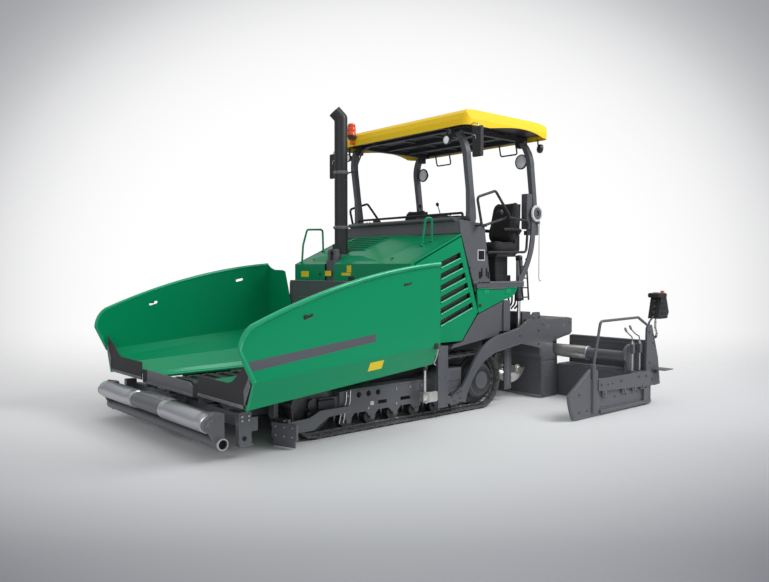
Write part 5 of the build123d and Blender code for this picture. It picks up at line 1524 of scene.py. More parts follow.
# ---------------------------------------------------------------- roof, lamps, mirrors, exhaust
@dataclass
class Roof:
    """Underside battens, lamp faces, mirrors' glass and wires, and the beacon's lens."""

    def build(self) -> None:
        """Builds everything that moves with the roof and the rear posts' lamps."""
        self.underside()
        self.mirrors()
        self.lamps()
        self.beacon()
        log.info("roof: battens, mirrors, lamps, beacon")

    def underside(self) -> None:
        """Bolted battens under the roof and the rear lamp's housing."""
        under = Batch()
        for y in (-0.9, -0.3, 0.3, 0.9):
            slab(under, (-1.15, y - 0.03, 3.598), (0.33, y + 0.03, 3.617), 0.005)
        for x in (-1.0, -0.55, -0.1, 0.26):
            for y in (-0.9, -0.3, 0.3, 0.9):
                bolts(under, [(x, y, 3.598)], DOWN, 0.01, 0.007)
        under.make("roof_battens", BLACK, "roof")
        speaker = Batch()
        turned(speaker, (-1.18, 1.2, 3.44), (-1.245, 1.24, 3.43),
            [(0, 0.0), (0, 0.04), (0.012, 0.058), (0.045, 0.062), (0.062, 0.055), (0.075, 0.02)],
            26)
        tube(speaker, [(-1.19, 1.2, 3.48), (-1.19, 1.19, 3.56)], 0.01, sides=10)
        speaker.make("rear_lamp_housing", BLACK, "roof")

    def mirrors(self) -> None:
        """Mirror glass at the back of each housing, a rim, and the bent wire that carries it."""
        glass, rim, wire = Batch(), Batch(), Batch()
        slab(glass, (0.2975, 1.4, 3.17), (0.3005, 1.506, 3.5), 0.001)
        profile = rounded(0.008, 0.01, 0.003, 2)
        loop = np.array([(0.3, y, z) for y, z in ((1.392, 3.16), (1.513, 3.16), (1.513, 3.51),
            (1.392, 3.51), (1.392, 3.165))])
        rim.grid(sweep(bent(loop, 0.02), profile, AHEAD))
        for z in (3.24, 3.33, 3.42):
            slab(rim, (0.347, 1.415, z - 0.012), (0.354, 1.49, z + 0.012), 0.003)
        tube(wire, [(0.31, 1.345, 3.57), (0.315, 1.4, 3.565), (0.325, 1.452, 3.55),
            (0.325, 1.452, 3.505)], 0.007, 0.03, 10)
        tube(wire, [(0.335, 1.345, 3.4), (0.352, 1.4, 3.42), (0.352, 1.44, 3.4),
            (0.352, 1.44, 3.36)], 0.006, 0.03, 10)
        glass.both().make("mirror_glasses", MIRROR, "roof")
        rim.both().make("mirror_rims", BLACK, "roof")
        wire.both().make("mirror_wires", ZINC, "roof")

    def lamps(self) -> None:
        """A dished lens and a ring round it on the front lamps and the large rear work lamps."""
        front = [(0, 0.0), (0, 0.05), (0.01, 0.053), (0.014, 0.046), (0.019, 0.028), (0.021, 0.0)]
        front_ring = [(0, 0.05), (0, 0.06), (0.01, 0.061), (0.014, 0.058), (0.015, 0.05)]
        work = [(0, 0.0), (0, 0.09), (0.018, 0.094), (0.024, 0.07), (0.03, 0.04), (0.032, 0.0)]
        bezel = [(0, 0.09), (0, 0.103), (0.014, 0.105), (0.022, 0.101), (0.024, 0.091)]
        for side, sign in SIDES:
            for name, body, spot, back, profile, finish, sides in (("front_lens", "roof",
                    (0.41, 1.0, 3.4), 0.012, front, LENS, 32),
                    ("front_lamp_ring", "roof", (0.41, 1.0, 3.4), 0.01, front_ring, BLACK, 32),
                    ("work_lens", "rear_posts", (-1.098, 0.98, 3.27), 0.02, work, LENS, 40),
                    ("work_lamp_bezel", "rear_posts", (-1.098, 0.98, 3.27), 0.014, bezel, BLACK,
                    40)):
                base = np.array(spot) * [1, sign, 1] - [back, 0, 0]
                turned(made := Batch(), base, base + AHEAD, profile, sides, finish is BLACK)
                made.make(f"{side}_{name}", finish, body)

    def beacon(self) -> None:
        """Ribbed lens with a cap over a black foot."""
        c = np.array((0.478, -0.82, 3.69))
        a = np.linspace(0, TURN, 72, endpoint=False)
        levels = [(0.0, 0.05), (0.006, 0.062), (0.05, 0.06), (0.056, 0.056), (0.062, 0.06),
            (0.11, 0.058), (0.116, 0.054), (0.122, 0.057), (0.16, 0.052), (0.168, 0.04),
            (0.169, 0.0001)]
        flute = 1 + 0.018 * np.cos(24 * a)
        rows = [np.stack([c[0] + r * flute * np.cos(a), c[1] + r * flute * np.sin(a),
            np.full(len(a), c[2] + z)], -1) for z, r in levels]
        Batch().grid(np.stack(rows)).make("beacon_lens", RED, "roof")
        foot = Batch()
        turned(foot, c - [0, 0, 0.055], c + [0, 0, 0.01], [(0, 0.025), (0, 0.046), (0.012, 0.05),
            (0.03, 0.05), (0.036, 0.064), (0.056, 0.064), (0.062, 0.055)], 32)
        foot.make("beacon_foot", BLACK, "roof")


@dataclass
class Exhaust:
    """Clamps of the exhaust stack and painted shade in its mouth."""

    x: float = 1.0
    y: float = -0.39
    radius: float = 0.088

    def build(self) -> None:
        """Builds the stack's clamps and a dark disc of painted shade inside its mouth."""
        clamp = Batch()
        for z in (3.055, 2.32):
            turned(clamp, (self.x, self.y, z), (self.x, self.y, z + 0.04),
                [(0, self.radius), (0, self.radius + 0.009), (0.006, self.radius + 0.011),
                (0.034, self.radius + 0.011), (0.04, self.radius + 0.009), (0.04, self.radius)], 40,
                True)
            slab(clamp, (self.x + self.radius - 0.004, self.y - 0.018, z + 0.004),
                (self.x + self.radius + 0.034, self.y + 0.018, z + 0.036), 0.004)
            bolts(clamp, [(self.x + self.radius + 0.02, self.y + 0.018, z + 0.02)], LEFT, 0.008,
                0.008)
        turned(clamp, (self.x, self.y, 1.93), (self.x, self.y, 1.97),
            [(0, self.radius), (0, self.radius + 0.01), (0.04, self.radius + 0.01),
            (0.04, self.radius)], 40, True)
        clamp.make("exhaust_clamps", PALE_GREY, "exhaust")
        way = np.array([0.075, -0.045, 0.095]) / 0.1292
        mouth = np.array((1.075, -0.435, 3.895))
        # A dark disc of painted shade inside the stack's mouth.
        depth = Batch()
        turned(depth, mouth - way * 0.012, mouth, [(0, 0.0), (0, 0.0797), (0.004, 0.0797),
            (0.004, 0.0)], 36)
        depth.make("exhaust_depth", SHADE_FILL, "exhaust")
        log.info("exhaust: clamps")


# ---------------------------------------------------------------- tow points, arms, augers
@dataclass
class Running:
    """Bolts on guides and arms, pins, cylinders' glands and auger bearings."""

    def build(self) -> None:
        """Builds both sides."""
        self.tow()
        self.arms()
        self.augers()
        log.info("tow points, arms, augers: fittings")

    def tow(self) -> None:
        """Edge bars, bolts and slots of the guide plates, the tow ram's glands and the pins."""
        guide = Batch()
        for x in (0.722, 0.868):
            slab(guide, (x - 0.008, 1.334, 0.15), (x + 0.008, 1.34, 0.85), 0.003)
        bolts(guide, [(x, 1.336, z) for x in (0.755, 0.84) for z in (0.18, 0.5, 0.82)], LEFT, 0.012,
            0.009)
        guide.both().make("tow_guide_fittings", GREY)
        # The slot is a flat dark patch of painted shade.
        slot = Batch()
        slab(slot, (0.838, 1.3335, 0.29), (0.85, 1.3348, 0.42), 0.0006)
        slot.both().make("tow_guide_slots", SHADE_FILL)
        ram = Batch()
        turned(ram, (1.065, 1.3, 0.6), (1.065, 1.3, 0.64), [(0, 0.0185), (0, 0.033), (0.01, 0.036),
            (0.036, 0.036), (0.04, 0.032)], 28)
        turned(ram, (1.065, 1.3, 0.85), (1.065, 1.3, 0.872), [(0, 0.03), (0.012, 0.034),
            (0.022, 0.028), (0.022, 0.0)], 24)
        ram.both().make("tow_ram_glands", BLACK)
        pins = Batch()
        turned(pins, (1.0, 1.298, 0.28), (1.0, 1.318, 0.28), [(0, 0.034), (0.014, 0.034),
            (0.018, 0.028), (0.02, 0.012), (0.02, 0.0)], 28)
        slab(pins, (1.022, 1.318, 0.215), (1.055, 1.338, 0.345), 0.006)
        for z in (0.235, 0.325):
            turned(pins, (1.085, 1.334, z), (1.085, 1.35, z), [(0, 0.024), (0.012, 0.023),
                (0.016, 0.01)], 18)
        pins.both().make("tow_pins", ZINC, "tow_sliders")

    def arms(self) -> None:
        """Welded rims along both edges of the swan neck, bolts and the lift cylinders' glands."""
        edge = Batch()
        top = [(0.413, 0.33), (0.286, 0.503), (0.138, 0.704), (-0.051, 0.842), (-0.284, 0.929),
            (-0.692, 0.998)]
        low = [(0.322, 0.257), (0.175, 0.468), (0.006, 0.617), (-0.226, 0.713), (-0.528, 0.756),
            (-0.736, 0.788)]
        t = np.linspace(0, 1, 40)
        for line, inward in ((top, -0.013), (low, 0.013)):
            p = np.array(line)
            steps = run_of(p)
            x = np.interp(t * steps[-1], steps, p[:, 0])
            z = np.interp(t * steps[-1], steps, p[:, 1])
            for _ in range(6):
                x[1:-1], z[1:-1] = (x[:-2] + x[1:-1] * 2 + x[2:]) / 4, (z[:-2] + z[1:-1] * 2 +
                    z[2:]) / 4
            d = np.gradient(np.stack([x, z], -1), axis=0)
            n = unit(np.stack([-d[:, 1], d[:, 0]], -1))
            n *= np.sign(n[:, 1:2] + 1e-9)
            q = np.stack([x, z], -1) + n * inward
            path = np.column_stack([q[:, 0], np.full(len(q), 1.298), q[:, 1]])
            edge.grid(sweep(path, rounded(0.009, 0.007, 0.003, 2), LEFT))
        edge.both().make("arm_rims", GREY, "screed")
        heads = Batch()
        bolts(heads, [(x, 1.298, z) for x, z in ((0.44, 0.285), (0.5, 0.272), (0.6, 0.235),
            (0.455, 0.205), (0.56, 0.18), (-0.7, 0.9), (-0.98, 1.13), (-1.1, 1.13), (-1.1, 0.76),
            (-1.1, 0.95))], LEFT, 0.015, 0.012)
        heads.both().make("arm_bolts", BLACK_STEEL, "screed")
        gland = Batch()
        turned(gland, (-0.94, 1.08, 1.346), (-0.94, 1.08, 1.39),
            [(0, 0.0245), (0, 0.038), (0.008, 0.044), (0.04, 0.044), (0.044, 0.04)], 28)
        turned(gland, (-0.94, 1.08, 1.9), (-0.94, 1.08, 1.975),
            [(0, 0.04), (0.01, 0.047), (0.055, 0.047), (0.07, 0.035), (0.075, 0.0)], 28)
        gland.both().make("lift_glands", BLACK)

    def augers(self) -> None:
        """Outer bearings with their collars, and bolts of the auger plates."""
        bearing = Batch()
        turned(bearing, (-0.9, 1.076, 0.412), (-0.9, 1.128, 0.412),
            [(0, 0.03), (0, 0.062), (0.012, 0.066), (0.02, 0.066), (0.026, 0.052), (0.038, 0.048),
            (0.044, 0.036), (0.052, 0.032), (0.052, 0.0)], 32)
        for angle in np.linspace(0, TURN, 5, endpoint=False):
            spot = np.array((-0.9, 1.096, 0.412)) + [0.054 * math.cos(angle), 0,
                0.054 * math.sin(angle)]
            bolts(bearing, [spot], LEFT, 0.008, 0.009)
        bearing.both().make("auger_bearings", BRASS)
        plates = Batch()
        bolts(plates, [(x, 1.1, z) for x in (-0.738, -0.645) for z in (0.2, 0.34, 0.5, 0.66)], LEFT,
            0.011, 0.008)
        slab(plates, (-0.712, 1.0985, 0.21), (-0.668, 1.1045, 0.7), 0.004)
        plates.both().make("auger_plate_bolts", PALE_GREY)


# ---------------------------------------------------------------- screed
@dataclass
class Screed:
    """Side plates, eye rims, walkway, hoses and tamper edge of the basic screed."""

    half: float = 1.275

    def build(self) -> None:
        """Builds the screed's fittings."""
        side = Batch()
        y = self.half
        plate(side, [(-1.21, 0.02), (-1.195, 0.5), (-1.55, 0.5), (-1.55, 0.02)], y - 0.001,
            y + 0.01)
        plate(side, [(-1.21, 0.525), (-1.17, 0.63), (-1.17, 1.065), (-1.895, 1.065), (-1.895, 0.9),
            (-1.66, 0.84), (-1.44, 0.795), (-1.44, 0.62), (-1.55, 0.57), (-1.55, 0.525)], y - 0.001,
            y + 0.008)
        bolts(side, [(x, y + 0.009, z) for x, z in ((-1.24, 0.06), (-1.52, 0.06), (-1.24, 0.46),
            (-1.52, 0.46), (-1.3, 0.3), (-1.44, 0.3), (-1.23, 0.58), (-1.5, 0.56), (-1.22, 1.03),
            (-1.85, 1.03), (-1.5, 0.84))], LEFT, 0.013, 0.01)
        side.both().make("screed_side_plates", GREY, "screed")
        eyes = Batch()
        for x in (-1.7, -1.33):
            turned(eyes, (x, y - 0.003, 0.985), (x, y + 0.009, 0.985),
                [(0, 0.026), (0, 0.033), (0.009, 0.033), (0.012, 0.03), (0.012, 0.026)], 26)
        eyes.both().make("screed_eye_rims", PALE_GREY, "screed")
        top = Batch()
        for k in range(4):
            low, high = -1.25 + k * 0.63, -1.25 + k * 0.63 + 0.61
            slab(top, (-1.89, low, 1.078), (-1.32, high, 1.088), 0.004)
            bolts(top, [(x, yy, 1.088) for x in (-1.86, -1.35) for yy in (low + 0.04, high - 0.04)],
                UP, 0.01, 0.006)
            for x in np.arange(-1.84, -1.37, 0.05):
                slab(top, (x - 0.008, low + 0.07, 1.086), (x + 0.008, high - 0.07, 1.0905), 0.002)
        top.make("screed_walkway", GREY, "screed")
        hoses = Batch()
        for k in range(4):
            z = 0.9 + 0.035 * k
            tube(hoses, [(-1.12, -1.1, z), (-1.1, -0.4, z - 0.02), (-1.09, 0.4, z - 0.02),
                (-1.12, 1.1, z)], 0.012, 0.2, 10)
        hoses.make("screed_hoses", RUBBER, "screed")
        wear = Batch()
        slab(wear, (-1.205, -self.half + 0.002, 0.012), (-1.18, self.half - 0.002, 0.05), 0.006)
        for yy in np.linspace(-1.2, 1.2, 13):
            bolts(wear, [(-1.188, yy, 0.3)], AHEAD, 0.011, 0.009)
        wear.make("screed_tamper_edge", WORN_STEEL, "screed")
        log.info("screed: side plates, walkway, hoses")


@dataclass
class Extensions:
    """Collars, jacks, cranks, ribs, end plates' bolts and trim, and hand rail feet."""

    def build(self) -> None:
        """Builds both sides; each piece is drawn on the left and mirrored."""
        self.collars().twins("tube_collar", ROLLER_STEEL, "mid_tube")
        for draw, name, finish in ((self.jacks, "jacks", ZINC), (self.cranks, "cranks", WORN_STEEL),
                (self.shell, "extension_ribs", GREY), (self.end_bolts, "end_plate_bolts",
                BLACK_STEEL), (self.end_trim, "end_plate_trim", GREY),
                (self.rail_feet, "hand_rail_feet", PALE_GREY)):
            draw().twins(name, finish, "extension")
        log.info("extensions: collars, jacks, end plates")

    @staticmethod
    def collars() -> Batch:
        """Wiper collar at the middle tube's mouth.

        Returns:
            The left piece.
        """
        out = Batch()
        turned(out, (-1.6, 1.735, 0.64), (-1.6, 1.764, 0.64), [(0, 0.09), (0, 0.094),
            (0.022, 0.094), (0.027, 0.088), (0.029, 0.0705)], 48)
        return out

    @staticmethod
    def jacks() -> Batch:
        """Threads and nuts of the two height jacks; the thread is rings stacked at one pitch.

        Returns:
            The left piece.
        """
        out = Batch()
        for x in (-1.78, -1.604):
            low, high = 0.46, 0.69
            pitch = 0.012
            rows = [(0.0, 0.013)]
            for k in range(int((high - low) / pitch)):
                rows += [(k * pitch + 0.001, 0.0135), (k * pitch + 0.005, 0.0165),
                    (k * pitch + 0.007, 0.0165), (k * pitch + 0.011, 0.0135)]
            turned(out, (x, 2.41, low), (x, 2.41, high), rows, 14)
            turned(out, (x, 2.41, 0.81), (x, 2.41, 0.85), [(0, 0.022), (0.018, 0.022),
                (0.022, 0.016), (0.04, 0.014), (0.04, 0.0)], 18)
        return out

    @staticmethod
    def cranks() -> Batch:
        """Cranked handles on the jacks' heads with a turned grip.

        Returns:
            The left piece.
        """
        out = Batch()
        for x, tip in ((-1.78, (-1.55, 1.01)), (-1.604, (-1.44, 0.985))):
            tube(out, [(x, 2.41, 0.84), (x + 0.01, 2.412, 0.905), ((x + tip[0]) / 2, 2.415, 0.94),
                (tip[0], 2.42, tip[1])], 0.008, 0.05, 12)
            end = np.array((tip[0], 2.42, tip[1]))
            way = np.array([0.04, 0.0, 0.055])
            turned(out, end - way * 0.1, end + way, [(0, 0.009), (0.006, 0.014), (0.055, 0.015),
                (0.066, 0.01), (0.068, 0.0)], 16)
        return out

    @staticmethod
    def shell() -> Batch:
        """Ribs, a heater cover and bolts on the extension's body.

        Returns:
            The left piece.
        """
        out = Batch()
        for y in (1.5, 1.9, 2.3):
            plate(out, [(-1.59, 0.06), (-1.59, 0.37), (-1.582, 0.37), (-1.582, 0.06)], y - 0.006,
                y + 0.006, bevel=0.001)
        slab(out, (-1.8985, 1.3, 0.56), (-1.892, 2.28, 0.6), 0.003)
        slab(out, (-1.8985, 1.3, 0.77), (-1.892, 2.28, 0.8), 0.003)
        slab(out, (-1.956, 1.26, 0.835), (-1.89, 2.42, 0.842), 0.003)
        slab(out, (-1.86, 1.32, 0.448), (-1.69, 2.26, 0.462), 0.006)
        bolts(out, [(x, y, 0.462) for x in (-1.84, -1.71) for y in (1.4, 1.7, 2.0, 2.2)], UP, 0.01,
            0.007)
        bolts(out, [(-1.59, y, z) for y in (1.35, 1.65, 1.75, 2.05, 2.15, 2.4) for z in (0.1,
            0.33)], AHEAD, 0.011, 0.008)
        return out

    @staticmethod
    def end_bolts() -> Batch:
        """Bolts of the end plate's bar, shoe, upright and post.

        Returns:
            The left piece.
        """
        out = Batch()
        face = 2.5
        bolts(out, [(x, face, z) for x, z in ((-0.76, 0.38), (-1.2, 0.39), (-1.62, 0.395),
            (-1.8, 0.39), (-1.95, 0.33))], LEFT, 0.014, 0.011)
        bolts(out, [(x, 2.47, z) for x, z in ((-0.34, 0.09), (-0.34, 0.3), (-0.5, 0.09),
            (-1.1, 0.2), (-1.35, 0.2), (-1.62, 0.2), (-1.93, 0.55), (-2.02, 0.8), (-1.92, 0.95),
            (-1.98, 0.42))], LEFT, 0.012, 0.01)
        return out

    @staticmethod
    def end_trim() -> Batch:
        """Clamp blocks, welded ribs and the wear strip of the shoe.

        Returns:
            The left piece.
        """
        out = Batch()
        for x in (-0.84, -1.28, -1.52, -1.72):
            slab(out, (x - 0.045, 2.468, 0.22), (x + 0.045, 2.496, 0.305), 0.006)
            slab(out, (x - 0.012, 2.49, 0.24), (x + 0.012, 2.508, 0.285), 0.004)
        slab(out, (-1.955, 2.468, 0.108), (-0.78, 2.478, 0.118), 0.003)
        plate(out, [(-1.96, 0.014), (-0.43, 0.006), (-0.23, 0.018), (-0.225, 0.032), (-0.43, 0.022),
            (-1.96, 0.03)], 2.4695, 2.476)
        tube(out, [(-0.235, 2.47, 0.03), (-0.165, 2.47, 0.16), (-0.135, 2.47, 0.3),
            (-0.55, 2.47, 0.565)], 0.006, 0.05, 10)
        slab(out, (-0.7, 2.468, 0.06), (-0.655, 2.488, 0.56), 0.005)
        return out

    @staticmethod
    def rail_feet() -> Batch:
        """Sockets at the ends of the hand rail.

        Returns:
            The left piece.
        """
        out = Batch()
        turned(out, (-0.62, 2.47, 0.56), (-0.622, 2.47, 0.64),
            [(0, 0.018), (0, 0.027), (0.07, 0.027), (0.078, 0.022), (0.08, 0.018)], 24)
        turned(out, (-1.94, 2.457, 0.965), (-1.94, 2.457, 1.0),
            [(0, 0.018), (0, 0.026), (0.03, 0.026), (0.035, 0.02)], 24)
        bolts(out, [(-0.62, 2.4975, 0.6)], LEFT, 0.01, 0.006)
        return out


@dataclass
class Controls:
    """Remote boxes at the screed's ends: keys, dials, stop button and coiled cable."""

    def build(self) -> None:
        """Builds both boxes' fittings and cables."""
        self.faces()
        for side, sign in SIDES:
            self.cable(side, sign, f"{side}_extension")
        log.info("controls: keys, stop buttons, coiled cables")

    def faces(self) -> None:
        """Keys and dials on each box's two faces, rubber corners and a red stop button."""
        keys, rubber, stop = Batch(), Batch(), Batch()
        for row in range(4):
            for col in range(3):
                x = -2.155 - 0.045 * col - 0.012 * row
                z = 1.4 - 0.066 * row
                turned(keys, (x, 2.498, z), (x, 2.513, z), [(0, 0.015), (0.012, 0.014),
                    (0.015, 0.01)], 16)
        slab(keys, (-2.3, 2.499, 1.17), (-2.17, 2.505, 1.215), 0.003)
        for x, z in ((-2.13, 1.36), (-2.12, 1.28), (-2.11, 1.2)):
            turned(keys, (x + 0.02, 2.43, z), (x + 0.04, 2.43, z - 0.004),
                [(0, 0.022), (0.012, 0.02), (0.018, 0.012)], 18)
        for z0, z1, x0 in ((1.118, 1.165, -2.335), (1.4, 1.462, -2.305)):
            slab(rubber, (x0, 2.345, z0), (x0 + 0.22, 2.508, z1), 0.012)
        turned(stop, (-2.245, 2.47, 1.462), (-2.243, 2.47, 1.494),
            [(0, 0.014), (0.01, 0.014), (0.012, 0.026), (0.024, 0.027), (0.031, 0.018),
            (0.032, 0.0)], 24)
        slab(stop, (-2.19, 2.4, 1.455), (-2.165, 2.44, 1.472), 0.004)
        keys.twins("box_keys", BLACK, "extension")
        rubber.twins("box_corners", RUBBER, "extension")
        stop.twins("box_stop", RED, "extension")

    def cable(self, side: str, sign: int, body: str) -> None:
        """A coiled cable from the box's foot to the upright.

        Its route is a NURBS spline over chosen points. The coil is a helix about that route: at
        arc length s it stands off by r (n cos w s + b sin w s), the stand-off fading to nothing
        over both ends.

        Args:
            side: left or right.
            sign: 1 on the left, -1 on the right.
            body: the CAD body that it rides on.
        """
        points = [(SPROCKET_X + x, sign * y, z) for x, y, z in ((-2.15, 2.43, 1.135),
            (-2.135, 2.435, 1.06), (-2.12, 2.44, 0.98), (-2.155, 2.45, 0.905), (-2.1, 2.455, 0.865),
            (-2.03, 2.455, 0.895), (-1.985, 2.45, 0.93))]
        route = self.spline(f"{side}_cable_route", points)
        path = self.sample(route)
        bpy.data.objects.remove(route)
        steps = run_of(path)
        s = np.linspace(0, steps[-1], 900)
        p = np.stack([np.interp(s, steps, path[:, k]) for k in range(3)], -1)
        for _ in range(30):
            p[1:-1] = (p[:-2] + 2 * p[1:-1] + p[2:]) / 4
        t = unit(np.gradient(p, axis=0))
        n = unit(np.cross(t, LEFT))
        b = np.cross(t, n)
        fade = np.clip(np.minimum(s, steps[-1] - s) / 0.05, 0, 1)
        fade = fade * fade * (3 - 2 * fade)
        turns, radius, thick = 22, 0.0135, 0.0042
        w = TURN * turns / steps[-1]
        coil = p + radius * fade[:, None] * (n * np.cos(w * s)[:, None] + b * np.sin(w * s)[:,
            None])
        thing = self.spline(f"{side}_control_cable", coil[::4])
        thing.data.bevel_depth = thick
        thing.data.bevel_resolution = 3
        thing.data.materials.append(RUBBER.material())
        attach(thing, body)

    @staticmethod
    def spline(name: str, points: Sequence[Point]) -> bpy.types.Object:
        """Makes a curve object with one NURBS spline that starts and ends at its outer points.

        Args:
            name: the object's name.
            points: the control points.

        Returns:
            The curve object.
        """
        data = bpy.data.curves.new(name, "CURVE")
        data.dimensions = "3D"
        line = data.splines.new("NURBS")
        line.points.add(len(points) - 1)
        for point, at in zip(line.points, points):
            point.co = (*at, 1.0)
        line.order_u = 3
        line.use_endpoint_u = True
        data.resolution_u = 12
        return stand(name, data)

    @staticmethod
    def sample(route: bpy.types.Object) -> np.ndarray:
        """Reads the points of a curve object as it is drawn.

        Args:
            route: the curve object.

        Returns:
            An (n, 3) array.
        """
        bpy.context.view_layer.update()
        mesh = route.to_mesh()
        points = np.empty(len(mesh.vertices) * 3)
        mesh.vertices.foreach_get("co", points)
        route.to_mesh_clear()
        return points.reshape(-1, 3)


# ---------------------------------------------------------------- stage, light and camera
@dataclass
class Studio:
    """A pale floor with a painted pool of light, a soft backdrop, large lamps and the camera.

    Floor and backdrop share one painted fall-off of light: brightness depends on the direction in
    which a point lies from a fixed viewing point, so that the floor runs into the backdrop without
    a line.
    """

    eye: tuple[float, float, float] = (6.987, 7.411, 1.803)
    yaw: float = 49.086
    pitch: float = 1.844
    lens: float = 34.03
    floor_gain: float = 0.86
    world_light: float = 0.74
    plain_tone: float = 0.84

    def viewpoint(self) -> tuple[float, float, float]:
        """The fixed viewing point in row coordinates."""
        return (SPROCKET_X + self.eye[0], *self.eye[1:])

    def axes(self) -> tuple[Vector, Vector, Vector]:
        """Directions that belong to the camera's view.

        Returns:
            Unit vectors to the right, upwards and along the line of sight.
        """
        yaw, pitch = math.radians(self.yaw), math.radians(self.pitch)
        ahead = Vector((-math.cos(yaw) * math.cos(pitch), -math.sin(yaw) * math.cos(pitch),
            -math.sin(pitch)))
        side = ahead.cross(Vector(UP)).normalized()
        return side, side.cross(ahead), ahead

    def build(self) -> None:
        """Builds the stage."""
        self.floor()
        self.backdrop()
        self.lamps()
        self.camera()
        bpy.context.scene.view_settings.view_transform = "Standard"
        log.info("studio: floor, backdrop, lamps, camera")

    def direction(self, tree: Tree, look: Socket) -> tuple[Socket, Socket, Socket]:
        """Sideways and upward slopes of a direction against the line of sight.

        Args:
            tree: where the nodes go.
            look: the direction.

        Returns:
            Sockets of both slopes and of how far the direction is ahead, as a share.
        """
        way = tree.vector("NORMALIZE", [look])
        across, up, ahead = [tree.vector("DOT_PRODUCT", (way, tuple(v)),
            "Value") for v in self.axes()]
        share = tree.step(ahead, 0.55, 0.8)
        ahead = tree.math("MAXIMUM", ahead, 0.2)
        return tree.math("DIVIDE", across, ahead), tree.math("DIVIDE", up, ahead), share

    def painted_floor_light(self, tree: Tree, across: Socket, down: Socket, share_ahead: Socket) -> Socket:
        """The floor's grey with its painted pool of light: darker towards the viewer and, by a
        square law, to the sides.

        Args:
            tree: where the nodes go.
            across: sideways slope of the direction.
            down: its downward slope.
            share_ahead: how far it is ahead.

        Returns:
            The colour.
        """
        depth_tone = tree.ramp(down, [(0.0, 1.0), (0.067, 1.0), (0.122, 0.99), (0.219, 0.76),
            (0.26, 0.66), (0.315, 0.5), (0.387, 0.35), (0.6, 0.25), (1.0, 0.2)])
        share = tree.math("MULTIPLY", across, 1 / 0.528)
        share = tree.math("MINIMUM", tree.math("MULTIPLY", share, share), 1.5)
        loss = tree.math("MULTIPLY", tree.math("SUBTRACT", down, 0.067), 0.656)
        loss = tree.math("ADD", tree.math("MAXIMUM", loss, 0.0), 0.14)
        side_tone = tree.math("SUBTRACT", tree.math("MULTIPLY", share, loss), 1.0)
        tone = tree.math("MULTIPLY", tree.math("MULTIPLY", depth_tone, side_tone), -self.floor_gain)
        lean = tree.math("ADD", tree.math("MULTIPLY", across, -0.4), 1.0)
        tone = tree.math("MINIMUM", tree.math("MULTIPLY", tone, lean), 0.95)
        return tree.tinted(tree.toward(self.plain_tone, tone, share_ahead))

    def floor(self) -> None:
        """A wide floor that thins out in front of the backdrop and far away."""
        size = 70.0
        mesh = bpy.data.meshes.new("floor")
        mesh.from_pydata([(-size, -size, 0), (size, -size, 0), (size, size, 0), (-size, size, 0)],
            [], [(0, 1, 2, 3)])
        thing = stand("floor", mesh)
        made = bpy.data.materials.new("floor")
        made.use_nodes = True
        tree = Tree(made.node_tree)
        shader = made.node_tree.nodes["Principled BSDF"]
        place = tree.node("TexCoord").outputs["Object"]
        look = tree.vector("SUBTRACT", (place, self.viewpoint()))
        across, up, share_ahead = self.direction(tree, look)
        down = tree.math("MULTIPLY", up, -1.0)
        for key, value in (("Roughness", 0.6), ("Specular IOR Level", 0.15),
                ("Base Color", self.painted_floor_light(tree, across, down, share_ahead))):
            tree.feed(shader.inputs[key], value)
        near = tree.math("MULTIPLY", tree.step(down, 0.16, 0.05), share_ahead)
        away = tree.vector("LENGTH", [place], "Value")
        thin = tree.math("MAXIMUM", near, tree.step(away, 12.0, 24.0))
        clear = tree.node("BsdfTransparent")
        tree.blend(thin, shader.outputs["BSDF"], clear.outputs["BSDF"], "Material Output")
        mesh.materials.append(made)

    def backdrop(self) -> None:
        """World: even soft light for the scene, and for the camera a painted white glow with grey
        rims.
        """
        world = bpy.data.worlds.new("studio")
        bpy.context.scene.world = world
        world.use_nodes = True
        tree = Tree(world.node_tree)
        look = tree.node("TexCoord").outputs["Generated"]
        across, up, share = self.direction(tree, look)
        up = tree.math("MAXIMUM", up, 0.0)
        wide = tree.math("MULTIPLY", across, 0.8)
        square = tree.math("ADD", tree.math("MULTIPLY", wide, wide), tree.math("MULTIPLY", up, up))
        tone = tree.ramp(tree.math("POWER", square, 0.5), [(0.0, 1.0), (0.28, 1.0), (0.36, 0.93),
            (0.4, 0.85), (0.44, 0.74), (0.48, 0.59), (0.52, 0.47), (0.57, 0.375), (0.65, 0.32),
            (1.0, 0.3)])
        tone = tree.toward(self.plain_tone, tone, share)
        height = tree.node("SeparateXYZ", {"Vector": look}).outputs["Z"]
        light = tree.ramp(height, [(0.0, 0.42), (0.12, 0.4), (0.3, 0.56), (0.6, 0.8), (1.0, 0.9)])
        plain = world.node_tree.nodes["Background"]
        tree.feed(plain.inputs["Color"], tree.tinted(light))
        plain.inputs["Strength"].default_value = self.world_light
        seen = tree.node("Background", {"Color": tree.tinted(tone)})
        path = tree.node("LightPath")
        tree.blend(path.outputs["Is Camera Ray"], plain.outputs["Background"],
            seen.outputs["Background"], "World Output")

    def lamps(self) -> None:
        """A large key lamp high behind the left side, weak ones above and ahead, one low."""
        for name, spot, size, power in (("key", (-4.5, 7.5, 8.0), 5.0, 760),
                ("top", (1.5, 0.5, 9.0), 7.0, 120), ("front", (10, 3.0, 4.5), 5.0, 110),
                ("low", (3.2, 6.8, 0.45), 2.6, 90)):
            data = bpy.data.lights.new(name, "AREA")
            data.size = size
            data.energy = power
            lamp = stand(name, data)
            lamp.location = spot
            aim = Vector((0.3, 0, 1.0)) - Vector(spot)
            lamp.rotation_euler = aim.to_track_quat("-Z", "Y").to_euler()

    def camera(self) -> None:
        """A level camera in front of the left side."""
        data = bpy.data.cameras.new("camera")
        data.sensor_width = 36.0
        data.lens = self.lens
        data.clip_end = 200
        thing = stand("camera", data)
        thing.location = self.viewpoint()
        thing.rotation_euler = self.axes()[2].to_track_quat("-Z", "Y").to_euler()
        bpy.context.scene.camera = thing


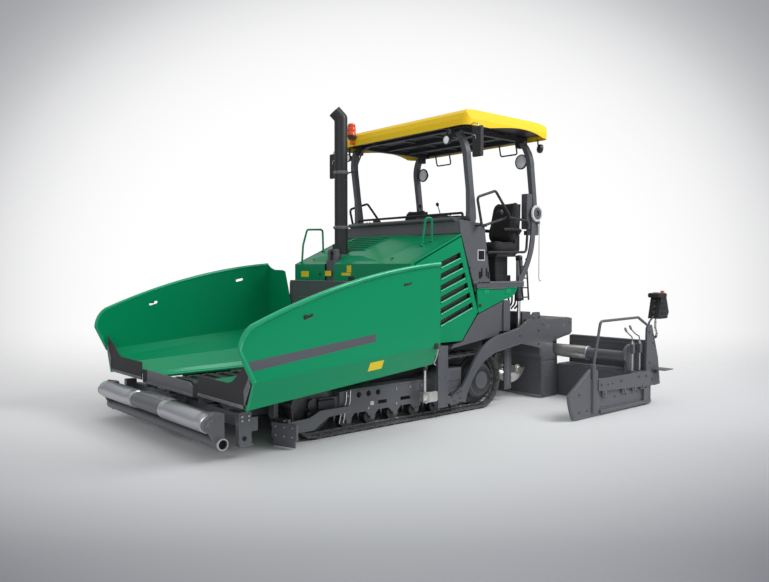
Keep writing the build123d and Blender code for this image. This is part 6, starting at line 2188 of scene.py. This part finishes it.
@dataclass
class FramePaint:
    """Gives every CAD node that stays in view the finish of its slot."""

    def build(self) -> None:
        """Dresses the nodes."""
        slot_of = {part["node"]: part["material_slot"] for part in frame["record"]["subparts"]}
        # The engine block takes a darker copy of its anthracite paint as painted shade.
        special = {"engine_block": ENGINE_SHADED, "conveyors": GUARD_STEEL}
        for name, thing in frame["nodes"].items():
            finish = special.get(name, FINISH_OF_SLOT[slot_of[name]])
            thing.data.materials.clear()
            thing.data.materials.append(finish.material())
        log.info("frame: %d nodes painted", len(frame["nodes"]))


def main() -> None:
    """Builds every sub-assembly in order."""
    FramePaint().build()
    for part in (Tracks(), SideFrames(), Deflectors(), HopperTrim(), Conveyors(), PushBeam(),
            HoodTrim(), DoorTrim(), FlapTrim(), Platform(), Seats(), Roof(), Exhaust(), Running(),
            Screed(), Extensions(), Controls(), Studio()):
        part.build()


if __name__ == "__main__":
    main()
